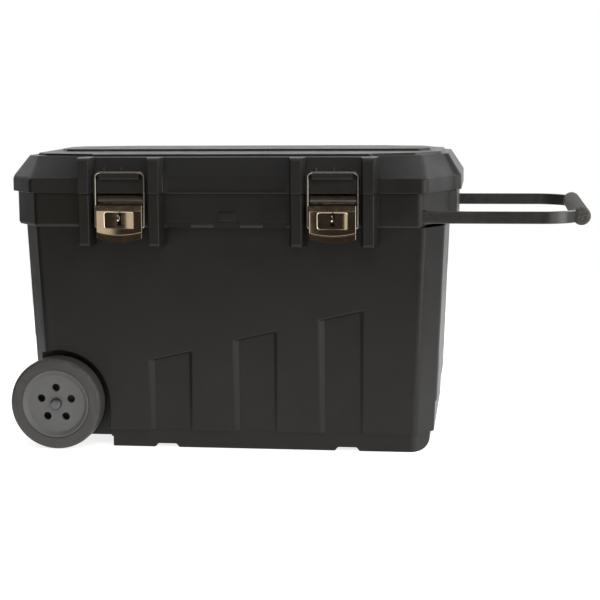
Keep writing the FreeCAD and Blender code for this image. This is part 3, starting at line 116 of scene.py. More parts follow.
class NodeSheet:
    """A node tree while it is put together."""

    def __init__(self, tree: bpy.types.NodeTree) -> None:
        """Keeps the tree."""
        self.tree = tree

    def add(self, kind: str, **settings: object) -> bpy.types.Node:
        """Adds a node.

        Args:
            kind: the node's Blender type.
            settings: attributes to set on it.

        Returns:
            The new node.
        """
        node = self.tree.nodes.new(kind)
        for key, value in settings.items():
            setattr(node, key, value)
        return node

    def link(self, source: Field, target: Field) -> None:
        """Joins an output to an input."""
        self.tree.links.new(source, target)

    def ramp(self, source: Field, span: Span, result: Span = (0.0, 1.0),
             curve: str = "LINEAR") -> Field:
        """Maps a field from one span of values to another, held at the ends.

        Args:
            source: the field.
            span: the values that become the result's ends.
            result: the values at the ends of the span.
            curve: Blender's name of the way between them.

        Returns:
            The mapped field.
        """
        node = self.add("ShaderNodeMapRange", interpolation_type=curve)
        ends = ("From Min", "From Max", "To Min", "To Max")
        for name, value in zip(ends, (*span, *result)):
            node.inputs[name].default_value = value
        self.link(source, node.inputs["Value"])
        return node.outputs["Result"]

    def mix(self, share: Field, under: Field | Colour, over: Colour) -> Field:
        """Lays a colour over another by a field.

        Args:
            share: the field, 0 for the colour underneath and 1 for the one on top.
            under: the colour underneath, a field or a linear colour.
            over: linear colour on top.

        Returns:
            The mixed colour.
        """
        node = self.add("ShaderNodeMix", data_type="RGBA")
        below, above = (socket for socket in node.inputs if socket.type == "RGBA")
        if isinstance(under, tuple):
            below.default_value = (*under, 1.0)
        else:
            self.link(under, below)
        above.default_value = (*over, 1.0)
        self.link(share, node.inputs["Factor"])
        return next(socket for socket in node.outputs if socket.type == "RGBA")

    def maths(self, operation: str, first: Field, second: Field | float) -> Field:
        """Joins two fields by one of the Math node's operations.

        Args:
            operation: Blender's name of the operation.
            first: a field.
            second: a field or a number.

        Returns:
            The result.
        """
        node = self.add("ShaderNodeMath", operation=operation)
        self.link(first, node.inputs[0])
        if isinstance(second, float):
            node.inputs[1].default_value = second
        else:
            self.link(second, node.inputs[1])
        return node.outputs[0]

    def times(self, first: Field, second: Field | float) -> Field:
        """The product of a field and another field or a number."""
        return self.maths("MULTIPLY", first, second)


class ShaderSheet(NodeSheet):
    """A material's node tree while it is put together."""

    def __init__(self, name: str) -> None:
        """Starts a material with one Principled shader.

        Args:
            name: the material's name.
        """
        self.material = bpy.data.materials.new(name)
        self.material.use_nodes = True
        super().__init__(self.material.node_tree)
        self.shader = self.tree.nodes["Principled BSDF"]
        self.place = self.add("ShaderNodeTexCoord").outputs["Object"]

    def noise(self, grain: Grain) -> Field:
        """A noise field over the piece's own space.

        Args:
            grain: the noise's settings.

        Returns:
            The noise, from 0 to 1.
        """
        place = self.place
        if grain.stretch != UNSTRETCHED:
            squeeze = self.add("ShaderNodeMapping")
            squeeze.inputs["Scale"].default_value = grain.stretch
            self.link(place, squeeze.inputs["Vector"])
            place = squeeze.outputs["Vector"]
        node = self.add("ShaderNodeTexNoise")
        for name, value in (("Scale", 1.0 / grain.size), ("Detail", grain.detail),
                            ("Roughness", grain.rough), ("Distortion", grain.warp)):
            node.inputs[name].default_value = value
        self.link(place, node.inputs["Vector"])
        return node.outputs["Fac"]

    def cells(self, size: float) -> Field:
        """A field of small rounded cells, like the sparked grain of a mould.

        Args:
            size: width of a cell, in metres.

        Returns:
            The distance to the nearest cell centre.
        """
        node = self.add("ShaderNodeTexVoronoi")
        node.inputs["Scale"].default_value = 1.0 / size
        self.link(self.place, node.inputs["Vector"])
        return node.outputs["Distance"]

    def edges(self, span: Span = (0.515, 0.58)) -> Field:
        """A field that is 1 on worn outer edges and 0 elsewhere."""
        return self.ramp(self.add("ShaderNodeNewGeometry").outputs["Pointiness"], span)

    def relief(self, height: Field, bump: Span, under: Field | None = None) -> Field:
        """Bumps the surface by a field.

        Args:
            height: the field.
            bump: height of the bumps in metres, and the share of it that shows.
            under: a bump already made, if this one lies over it.

        Returns:
            The bumped normal.
        """
        node = self.add("ShaderNodeBump")
        node.inputs["Distance"].default_value, node.inputs["Strength"].default_value = bump
        self.link(height, node.inputs["Height"])
        if under is not None:
            self.link(under, node.inputs["Normal"])
        return node.outputs["Normal"]

    def finished(self, inputs: dict[str, Field | float | tuple]) -> bpy.types.Material:
        """Sets the shader's inputs, each to a field or to a constant of its own.

        Args:
            inputs: the field or constant of each named input.

        Returns:
            The finished material.
        """
        for name, value in inputs.items():
            if isinstance(value, Field):
                self.link(value, self.shader.inputs[name])
            else:
                self.shader.inputs[name].default_value = value
        return self.material


def scaled(colour: Colour, factor: float) -> Colour:
    """A colour made lighter or darker."""
    return (colour[0] * factor, colour[1] * factor, colour[2] * factor)


def spread_about(value: float, spread: Span) -> Span:
    """The span from a little below a value to a little above it."""
    return (value + spread[0], value + spread[1])


@dataclass(frozen=True)
class Finish:
    """What every finish starts from: its name, linear colour and roughness."""

    name: str
    colour: Colour
    roughness: float

    def shade(self, factor: float) -> Colour:
        """The finish's colour made lighter or darker."""
        return scaled(self.colour, factor)


@dataclass(frozen=True)
class MouldedPlastic(Finish):
    """Injection moulded plastic with sparked grain, handling scuffs and rubbed edges."""

    gloss: float = 0.5
    index: float = 1.49
    mottle: float = 0.10
    blotches: Grain = Grain(0.09, 4.0, 0.6, 0.4)
    specks: Grain = Grain(0.0016, 2.0, 0.7)
    speck_span: Span = (0.62, 0.8)
    speck_share: Span = (0.0, 0.35)
    speck_shade: float = 1.5
    streaks: Grain = Grain(0.02, 5.0, 0.62, 1.4, (1.0, 1.0, 4.0))
    streak_span: Span = (0.63, 0.72)
    patches: Grain = Grain(0.14, 2.0)
    patch_span: Span = (0.5, 0.66)
    scuffs: float = 0.35
    scuff_shade: float = 1.9
    rubs: Grain = Grain(0.012)
    rub_share: Span = (0.25, 0.8)
    rub_polish: float = 0.08
    worn: float = 1.6
    haze: Grain = Grain(0.045, 4.0, 0.6)
    haze_spread: Span = (-0.05, 0.07)
    sinks: Grain = Grain(0.05, 2.0)
    sink_bump: Span = (0.0008, 0.10)
    spark: float = 0.0011
    spark_bump: Span = (0.00006, 0.45)

    def build(self) -> bpy.types.Material:
        """Makes the material.

        Returns:
            The new material.
        """
        sheet = ShaderSheet(self.name)
        colour = sheet.mix(sheet.ramp(sheet.noise(self.blotches), MIDDLE),
                           self.shade(1 - self.mottle), self.shade(1 + self.mottle))
        specks = sheet.ramp(sheet.noise(self.specks), self.speck_span, self.speck_share)
        colour = sheet.mix(specks, colour, self.shade(self.speck_shade))
        scuffs = sheet.times(sheet.ramp(sheet.noise(self.streaks), self.streak_span),
                             sheet.ramp(sheet.noise(self.patches), self.patch_span))
        colour = sheet.mix(sheet.times(scuffs, self.scuffs), colour,
                           self.shade(self.scuff_shade))
        rubbed = sheet.times(sheet.edges(),
                             sheet.ramp(sheet.noise(self.rubs), MIDDLE, self.rub_share))
        colour = sheet.mix(rubbed, colour, self.shade(self.worn))
        rough = sheet.ramp(sheet.noise(self.haze), MIDDLE,
                           spread_about(self.roughness, self.haze_spread))
        sinks = sheet.relief(sheet.noise(self.sinks), self.sink_bump)
        return sheet.finished({
            "Base Color": colour,
            "Roughness": sheet.maths("SUBTRACT", rough, sheet.times(rubbed, self.rub_polish)),
            "Normal": sheet.relief(sheet.cells(self.spark), self.spark_bump, sinks),
            "IOR": self.index,
            "Specular IOR Level": self.gloss})


@dataclass(frozen=True)
class NickelPlate(Finish):
    """Bright nickel over pressed steel, with faint drawing lines and a few dull spots."""

    grime: Colour = (0.22, 0.16, 0.11)
    cloud: Grain = Grain(0.012, 4.0, 0.6, 0.6)
    cloud_span: Span = (0.35, 0.65)
    cloud_shade: float = 0.93
    spots: Grain = Grain(0.004, 4.0, 0.7)
    spot_span: Span = (0.6, 0.74)
    spot_share: float = 0.35
    spot_rough: float = 0.4
    haze_span: Span = (0.35, 0.7)
    haze_share: Span = (0.85, 1.2)
    waves: Grain = Grain(0.03, 1.0)
    wave_bump: Span = (0.0004, 0.04)
    drawn: Grain = Grain(0.0009, 3.0, 0.6, 0.0, (0.06, 1.0, 1.0))
    drawn_bump: Span = (0.00001, 0.15)

    def build(self) -> bpy.types.Material:
        """Makes the material.

        Returns:
            The new material.
        """
        sheet = ShaderSheet(self.name)
        cloud = sheet.noise(self.cloud)
        colour = sheet.mix(sheet.ramp(cloud, self.cloud_span), self.shade(self.cloud_shade),
                           self.colour)
        spots = sheet.times(sheet.ramp(sheet.noise(self.spots), self.spot_span),
                            self.spot_share)
        rough = sheet.ramp(cloud, self.haze_span, (self.roughness * self.haze_share[0],
                                                   self.roughness * self.haze_share[1]))
        waves = sheet.relief(sheet.noise(self.waves), self.wave_bump)
        return sheet.finished({
            "Base Color": sheet.mix(spots, colour, self.grime),
            "Metallic": 1.0,
            "Roughness": sheet.maths("ADD", rough, sheet.times(spots, self.spot_rough)),
            "Normal": sheet.relief(sheet.noise(self.drawn), self.drawn_bump, waves)})


@dataclass(frozen=True)
class ZincSteel(Finish):
    """Zinc plated steel with a spangled, slightly brushed face."""

    spangle: float = 0.003
    spangle_span: Span = (0.1, 0.8)
    spangle_shade: float = 0.75
    stain: Colour = (0.16, 0.14, 0.12)
    stains: Grain = Grain(0.006, 4.0, 0.7)
    stain_span: Span = (0.6, 0.8)
    stain_share: Span = (0.0, 0.5)
    haze: Grain = Grain(0.004)
    haze_spread: Span = (-0.08, 0.12)
    lines: Grain = Grain(0.0007, 2.0, 0.6, 0.0, (1.0, 0.1, 1.0))
    line_bump: Span = (0.00002, 0.3)

    def build(self) -> bpy.types.Material:
        """Makes the material.

        Returns:
            The new material.
        """
        sheet = ShaderSheet(self.name)
        colour = sheet.mix(sheet.ramp(sheet.cells(self.spangle), self.spangle_span),
                           self.shade(self.spangle_shade), self.colour)
        stains = sheet.ramp(sheet.noise(self.stains), self.stain_span, self.stain_share)
        return sheet.finished({
            "Base Color": sheet.mix(stains, colour, self.stain),
            "Metallic": 1.0,
            "Roughness": sheet.ramp(sheet.noise(self.haze), MIDDLE,
                                    spread_about(self.roughness, self.haze_spread)),
            "Normal": sheet.relief(sheet.noise(self.lines), self.line_bump)})


@dataclass(frozen=True)
class PowderCoat(Finish):
    """Powder coated steel: fine orange peel, worn paler on its edges."""

    clouds: Grain = Grain(0.03, 4.0, 0.6)
    cloud_shades: Span = (0.88, 1.12)
    rubs: Grain = Grain(0.01)
    rub_span: Span = (0.45, 0.7)
    rub_share: Span = (0.1, 0.7)
    worn: float = 2.2
    slides: Grain = Grain(0.003, 3.0, 0.6, 0.0, (0.04, 1.0, 1.0))
    slide_span: Span = (0.6, 0.72)
    slide_share: Span = (0.0, 0.22)
    slide_shade: float = 1.8
    haze_span: Span = (0.35, 0.7)
    haze_spread: Span = (-0.05, 0.08)
    peel: Grain = Grain(0.0022, 2.0, 0.5)
    peel_bump: Span = (0.00008, 0.35)
    coat: float = 0.6
    coat_roughness: float = 0.12

    def build(self) -> bpy.types.Material:
        """Makes the material.

        Returns:
            The new material.
        """
        sheet = ShaderSheet(self.name)
        colour = sheet.mix(sheet.ramp(sheet.noise(self.clouds), MIDDLE),
                           *(self.shade(factor) for factor in self.cloud_shades))
        rubbed = sheet.times(sheet.edges(),
                             sheet.ramp(sheet.noise(self.rubs), self.rub_span, self.rub_share))
        colour = sheet.mix(rubbed, colour, self.shade(self.worn))
        slides = sheet.noise(self.slides)
        marks = sheet.ramp(slides, self.slide_span, self.slide_share)
        return sheet.finished({
            "Base Color": sheet.mix(marks, colour, self.shade(self.slide_shade)),
            "Roughness": sheet.ramp(slides, self.haze_span,
                                    spread_about(self.roughness, self.haze_spread)),
            "Normal": sheet.relief(sheet.noise(self.peel), self.peel_bump),
            "Coat Weight": self.coat,
            "Coat Roughness": self.coat_roughness})


@dataclass(frozen=True)
class SoftRubber(Finish):
    """Matt elastomer with dusty patches and flecks, paler on its high spots."""

    dust: Colour
    gloss: float
    speckle: float = 0.0
    cloud: Grain = Grain(0.02, 5.0, 0.65, 0.8)
    cloud_shades: Span = (0.82, 1.15)
    powder: Grain = Grain(0.005, 5.0, 0.7)
    powder_span: Span = (0.5, 0.75)
    powder_share: float = 0.4
    flecks: Grain = Grain(0.0030, 2.0, 0.5)
    fleck_span: Span = (0.46, 0.56)
    high_span: Span = (0.505, 0.56)
    high_share: float = 0.5
    haze_spread: Span = (-0.08, 0.1)
    grit: Grain = Grain(0.0014, 3.0, 0.6)
    grit_bump: Span = (0.00008, 0.4)

    def build(self) -> bpy.types.Material:
        """Makes the material.

        Returns:
            The new material.
        """
        sheet = ShaderSheet(self.name)
        cloud = sheet.noise(self.cloud)
        colour = sheet.mix(sheet.ramp(cloud, MIDDLE),
                           *(self.shade(factor) for factor in self.cloud_shades))
        powder = sheet.times(sheet.ramp(sheet.noise(self.powder), self.powder_span),
                             self.powder_share)
        colour = sheet.mix(powder, colour, self.dust)
        if self.speckle:
            flecks = sheet.ramp(sheet.noise(self.flecks), self.fleck_span, (0.0, self.speckle))
            colour = sheet.mix(flecks, colour, self.dust)
        high = sheet.times(sheet.edges(self.high_span), self.high_share)
        return sheet.finished({
            "Base Color": sheet.mix(high, colour, self.dust),
            "Roughness": sheet.ramp(cloud, MIDDLE, spread_about(self.roughness, self.haze_spread)),
            "Normal": sheet.relief(sheet.noise(self.grit), self.grit_bump),
            "Specular IOR Level": self.gloss})


class Finishes:
    """The chest's finishes, by the record's material slots."""

    def __init__(self) -> None:
        """Builds each finish once, and reads each node's slot."""
        finishes = (
            MouldedPlastic("shell_black", (0.0084, 0.0077, 0.0072), 0.42, gloss=0.34),
            MouldedPlastic("lid_black", (0.0125, 0.0120, 0.0118), 0.36, gloss=0.34),
            SoftRubber("tyre_black", (0.041, 0.040, 0.038), 0.54,
                       dust=(0.070, 0.067, 0.062), gloss=0.36),
            MouldedPlastic("hub_grey", (0.100, 0.100, 0.101), 0.48, mottle=0.06, scuffs=0.2,
                           worn=1.25),
            NickelPlate("latch_nickel", (0.86, 0.78, 0.67), 0.10),
            NickelPlate("wire_nickel", (0.40, 0.38, 0.35), 0.20),
            # painted shade: a dark copy of the lever's nickel, laid on the latch bases, pins and
            # rivets
            NickelPlate("plate_nickel_painted_shade", (0.13, 0.115, 0.098), 0.30),
            ZincSteel("steel", (0.16, 0.16, 0.163), 0.42),
            PowderCoat("frame_grey", (0.020, 0.020, 0.020), 0.34),
            SoftRubber("grip_black", (0.042, 0.040, 0.037), 0.55,
                       dust=(0.092, 0.087, 0.079), gloss=0.12, speckle=0.8),
            MouldedPlastic("inner_black", (0.026, 0.026, 0.026), 0.5),
            MouldedPlastic("tray_grey", (0.055, 0.055, 0.057), 0.5))
        self.materials = {finish.name: finish.build() for finish in finishes}
        self.by_node = {row["node"]: row["material_slot"] for row in frame["record"]["subparts"]}

    def dress(self, piece: bpy.types.Object, slot: str, finish: str = "") -> bpy.types.Object:
        """Gives a piece its slot's finish, or another finish in its place.

        Args:
            piece: the piece.
            slot: one of the record's material slots.
            finish: a finish other than the slot's own.

        Returns:
            The same piece.
        """
        piece.data.materials.clear()
        piece.data.materials.append(self.materials[finish or slot])
        return piece

    def slot_of(self, node: str) -> str:
        """The record's material slot of a CAD node."""
        return self.by_node[node]


# ---------------------------------------------------------------- mesh work


def linked(name: str, data: bpy.types.ID) -> bpy.types.Object:
    """Makes an object and puts it in the scene.

    Args:
        name: the object's name.
        data: its mesh, light or camera.

    Returns:
        The new object.
    """
    thing = bpy.data.objects.new(name, data)
    bpy.context.scene.collection.objects.link(thing)
    return thing


def finished_mesh(bm: bmesh.types.BMesh, name: str) -> bpy.types.Mesh:
    """Turns a bmesh into a mesh, shaded smooth except over crisp edges, and frees it.

    Args:
        bm: the bmesh.
        name: the mesh's name.

    Returns:
        The mesh.
    """
    for face in bm.faces:
        face.smooth = True
    for edge in bm.edges:
        edge.smooth = edge.calc_face_angle(0.0) < CRISP
    mesh = bpy.data.meshes.new(name)
    bm.to_mesh(mesh)
    bm.free()
    return mesh


def with_modifiers(mesh: bpy.types.Mesh,
                   add: Callable[[bpy.types.Object], None]) -> bmesh.types.BMesh:
    """Applies modifiers to a mesh.

    Args:
        mesh: the mesh, which is used up.
        add: puts the modifiers on an object that holds the mesh.

    Returns:
        The changed shape.
    """
    carrier = linked(mesh.name, mesh)
    add(carrier)
    graph = bpy.context.evaluated_depsgraph_get()
    changed = bpy.data.meshes.new_from_object(carrier.evaluated_get(graph))
    bpy.data.objects.remove(carrier)
    bpy.data.meshes.remove(mesh)
    bm = bmesh.new()
    bm.from_mesh(changed)
    bpy.data.meshes.remove(changed)
    return bm


def join_rings(bm: bmesh.types.BMesh, rings: list[list[bmesh.types.BMVert]]) -> None:
    """Joins each ring of points to the next one by a band of faces.

    Args:
        bm: the bmesh that holds the points.
        rings: the rings, each with as many points.
    """
    for first, second in zip(rings, rings[1:]):
        for here in range(len(first)):
            there = (here + 1) % len(first)
            bm.faces.new((first[here], first[there], second[there], second[here]))


def placed(mesh: bpy.types.Mesh, body: str, *nodes: str,
           flatten: bool = True) -> bpy.types.Object:
    """Puts a finished mesh in the scene, riding on its body.

    Args:
        mesh: the mesh, in the row frame. Its name becomes the piece's.
        body: the CAD body it rides on.
        nodes: the CAD nodes it stands for.
        flatten: whether flat faces are shaded flat beside rounded edges.

    Returns:
        The new piece.
    """
    piece = linked(mesh.name, mesh)
    if flatten:
        weighted = piece.modifiers.new("weighted_normals", "WEIGHTED_NORMAL")
        weighted.mode = "FACE_AREA"
        weighted.weight = FLAT_FACE_WEIGHT
        weighted.keep_sharp = True
    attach(piece, body)
    if nodes:
        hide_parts(*nodes)
    return piece


def point_to_run(point: Vector, start: Vector, end: Vector) -> float:
    """Distance from a point to a straight run.

    Args:
        point: the point.
        start: the run's start.
        end: the run's end.

    Returns:
        The distance.
    """
    run = end - start
    share = (point - start).dot(run) / max(run.length_squared, TINY)
    return (point - (start + min(1.0, max(0.0, share)) * run)).length


def smooth_step(low: float, high: float, value: float) -> float:
    """0 below low, 1 above high and an even curve between."""
    share = min(1.0, max(0.0, (value - low) / (high - low)))
    return share * share * (3.0 - 2.0 * share)


def evenly(low: float, high: float, count: int) -> list[float]:
    """The ends of a number of equal steps from low to high."""
    return [low + i * (high - low) / count for i in range(count + 1)]


@dataclass(frozen=True)
class EdgeSoftening:
    """Rounds a rigid piece's edges, less where a face is too small for the full rounding.

    Edges that turn by less than gentle_below get the gentle width and sharper ones the plain
    width. Lengths are in metres and angles in radians.
    """

    width: float
    gentle: float
    gentle_below: float = math.radians(64)
    segments: int = 3
    sharp: float = math.radians(24)
    flat: float = math.radians(0.7)
    straight: float = 0.05
    weld: float = 2e-6
    marks: tuple[float, ...] = (0.1, 0.5, 0.9)
    margin: float = 1.1
    slack: float = 0.0003
    least: float = 0.00012
    room: float = 0.25
    rounds: int = 12
    shrink: float = 0.6
    small_share: float = 0.25
    tries: int = 7
    fault_reach: float = 2.2
    fault_shrink: float = 0.5
    sliver: float = 4e-9
    strayed_gentle: float = 0.7
    strayed_width: float = 0.5
    turned_over: float = -0.1

    @property
    def widest(self) -> float:
        """The largest rounding that any edge gets."""
        return max(self.width, self.gentle)

    def wanted(self, edge: bmesh.types.BMEdge) -> float:
        """The rounding that an edge would have with room to spare."""
        return self.widest if edge.calc_face_angle(0.0) < self.gentle_below else self.width

    def piece(self, node: str) -> bpy.types.Object:
        """Makes the softened piece that stands for a CAD node.

        Args:
            node: name of the CAD node.

        Returns:
            The new piece, riding on the node's body.
        """
        source = frame["nodes"][node]
        bm = bmesh.new()
        bm.from_mesh(source.data)
        bmesh.ops.remove_doubles(bm, verts=bm.verts, dist=self.weld)
        tree = BVHTree.FromBMesh(bm)
        bmesh.ops.dissolve_limit(bm, angle_limit=self.flat, verts=bm.verts, edges=bm.edges,
                                 use_dissolve_boundaries=False)
        if self.width > 0:
            bm = self.rounded(bm, tree, node)
        return placed(finished_mesh(bm, node + "_finished"), source["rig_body"], node)

    def rounded(self, bm: bmesh.types.BMesh, tree: BVHTree, node: str) -> bmesh.types.BMesh:
        """Rounds the edges, and leaves sharp the few that no rounding fits.

        Args:
            bm: the piece with flat faces merged.
            tree: the piece's own surface, to test the result against.
            node: the node's name, for the report.

        Returns:
            The rounded piece.
        """
        for things in (bm.verts, bm.edges, bm.faces):
            things.index_update()
        bm.edges.ensure_lookup_table()
        widths = {edge.index: self.wanted(edge) for edge in bm.edges
                  if edge.is_manifold and edge.calc_face_angle(0.0) > self.sharp}
        if not widths:
            return bm
        self.spare_narrow_faces(bm, widths)
        self.spare_short_edges(bm, widths)
        for _ in range(self.tries):
            result = self.bevelled(bm, widths)
            faults = self.faults(result, tree)
            if not faults:
                break
            self.leave_sharp(bm, widths, faults)
        LOG.info("%s: %d of %d edges rounded, %d faults", node,
                 sum(width > 0 for width in widths.values()), len(widths), len(faults))
        bm.free()
        return result

    def spare_narrow_faces(self, bm: bmesh.types.BMesh, widths: dict[int, float]) -> None:
        """Narrows the rounding of edges that face each other across a narrow face.

        Args:
            bm: the piece.
            widths: rounding of each edge by its index, changed in place.
        """
        for face in bm.faces:
            loops = list(face.loops)
            for here, loop in enumerate(loops):
                if loop.edge.index not in widths:
                    continue
                start, end = loop.vert.co, loop.link_loop_next.vert.co
                marks = [start.lerp(end, share) for share in self.marks]
                for there, other in enumerate(loops):
                    if (there - here) % len(loops) in (0, 1, len(loops) - 1):
                        continue
                    reach = (widths[loop.edge.index]
                             + widths.get(other.edge.index, 0.0)) * self.margin + self.slack
                    a, b = other.vert.co, other.link_loop_next.vert.co
                    middle = (a + b) / 2
                    halves = ((end - start).length + (b - a).length) / 2
                    if (middle - marks[1]).length > reach + halves:
                        continue
                    gap = min([point_to_run(p, a, b) for p in marks]
                              + [point_to_run(p, start, end) for p in (a, middle, b)])
                    if gap < reach:
                        limit = max(0.0, (gap - self.slack) / (2 * self.margin))
                        for edge in (loop.edge, other.edge):
                            if widths.get(edge.index, 0.0) > limit:
                                widths[edge.index] = limit
        for index, width in widths.items():
            if width < self.least:
                widths[index] = 0.0

    def spare_short_edges(self, bm: bmesh.types.BMesh, widths: dict[int, float]) -> None:
        """Narrows the rounding at edges that it would turn over.

        Args:
            bm: the piece.
            widths: rounding of each edge by its index, changed in place.
        """
        for _ in range(self.rounds):
            tight: set[int] = set()
            for face in bm.faces:
                corners = {loop: self.shifted(loop, widths) for loop in face.loops}
                for loop, corner in corners.items():
                    after = loop.link_loop_next
                    run = after.vert.co - loop.vert.co
                    if (corners[after] - corner).dot(run) < self.room * run.length_squared:
                        for edge in (loop.link_loop_prev.edge, loop.edge, after.edge):
                            if widths.get(edge.index, 0.0) > 0:
                                tight.add(edge.index)
            if not tight:
                return
            for index in tight:
                small = widths[index] <= self.width * self.small_share
                widths[index] = 0.0 if small else widths[index] * self.shrink

    def shifted(self, loop: bmesh.types.BMLoop, widths: dict[int, float]) -> Vector:
        """Finds where a face's corner goes when its two edges are rounded.

        Args:
            loop: the face's corner.
            widths: rounding of each edge by its index.

        Returns:
            The corner's new place.
        """
        here = loop.vert.co
        before = (here - loop.link_loop_prev.vert.co).normalized()
        after = (loop.link_loop_next.vert.co - here).normalized()
        first = widths.get(loop.link_loop_prev.edge.index, 0.0)
        second = widths.get(loop.edge.index, 0.0)
        turn = loop.face.normal.dot(before.cross(after))
        if abs(turn) < self.straight:
            inward = loop.face.normal.cross(before + after).normalized()
            return here + inward * max(first, second)
        return here + (first * after - second * before) / turn

    def bevelled(self, bm: bmesh.types.BMesh, widths: dict[int, float]) -> bmesh.types.BMesh:
        """Makes a copy of the piece with its edges rounded to their widths.

        Args:
            bm: the piece.
            widths: rounding of each edge by its index.

        Returns:
            The rounded copy.
        """
        layer = (bm.edges.layers.float.get("bevel_weight_edge")
                 or bm.edges.layers.float.new("bevel_weight_edge"))
        for edge in bm.edges:
            edge[layer] = widths.get(edge.index, 0.0) / self.widest
        mesh = bpy.data.meshes.new("rounding")
        bm.to_mesh(mesh)

        def rounding(carrier: bpy.types.Object) -> None:
            """Puts the bevel on.

            Args:
                carrier: the object that holds the mesh.
            """
            bevel = carrier.modifiers.new("rounding", "BEVEL")
            bevel.limit_method = "WEIGHT"
            bevel.width = self.widest
            bevel.segments = self.segments
            bevel.use_clamp_overlap = False

        return with_modifiers(mesh, rounding)

    def faults(self, result: bmesh.types.BMesh, tree: BVHTree) -> list[Vector]:
        """Finds faces that ended up turned over or off the piece's surface.

        Args:
            result: the rounded piece.
            tree: the piece's surface before the rounding.

        Returns:
            The corners of those faces.
        """
        strayed = self.widest * self.strayed_gentle + self.width * self.strayed_width
        found = []
        for triangle in result.calc_loop_triangles():
            a, b, c = (loop.vert.co for loop in triangle)
            normal = (b - a).cross(c - a)
            if normal.length < self.sliver:
                continue
            _, surface, _, distance = tree.find_nearest((a + b + c) / 3)
            if distance > strayed or normal.normalized().dot(surface) < self.turned_over:
                found += [a, b, c]
        return found

    def leave_sharp(self, bm: bmesh.types.BMesh, widths: dict[int, float],
                    faults: list[Vector]) -> None:
        """Takes the rounding off the edges that end near a fault.

        Args:
            bm: the piece.
            widths: rounding of each edge by its index, changed in place.
            faults: the places of the faults.
        """
        live = [index for index, width in widths.items() if width > 0]
        ends = KDTree(2 * len(live))
        for index in live:
            for vert in bm.edges[index].verts:
                ends.insert(vert.co, index)
        ends.balance()
        for fault in faults:
            for _, index, distance in ends.find_range(fault, self.fault_reach * self.widest):
                if distance < self.fault_reach * widths[index]:
                    small = widths[index] <= self.width
                    widths[index] = 0.0 if small else widths[index] * self.fault_shrink


# ---------------------------------------------------------------- sub-assemblies


@dataclass
class SubAssembly:
    """A group of CAD nodes that are softened and dressed alike.

    Each node has the plain and the gentle width of its rounding, in millimetres.
    """

    finishes: Finishes
    name: str
    softened: dict[str, Span]
    finish: str = ""

    def build(self) -> list[bpy.types.Object]:
        """Builds and dresses every piece of the group.

        Returns:
            The pieces.
        """
        pieces = []
        for node, (width, gentle) in self.softened.items():
            piece = EdgeSoftening(width=width * MM, gentle=gentle * MM).piece(node)
            slot = self.finishes.slot_of(node)
            pieces.append(self.finishes.dress(piece, slot, self.finish))
        return pieces


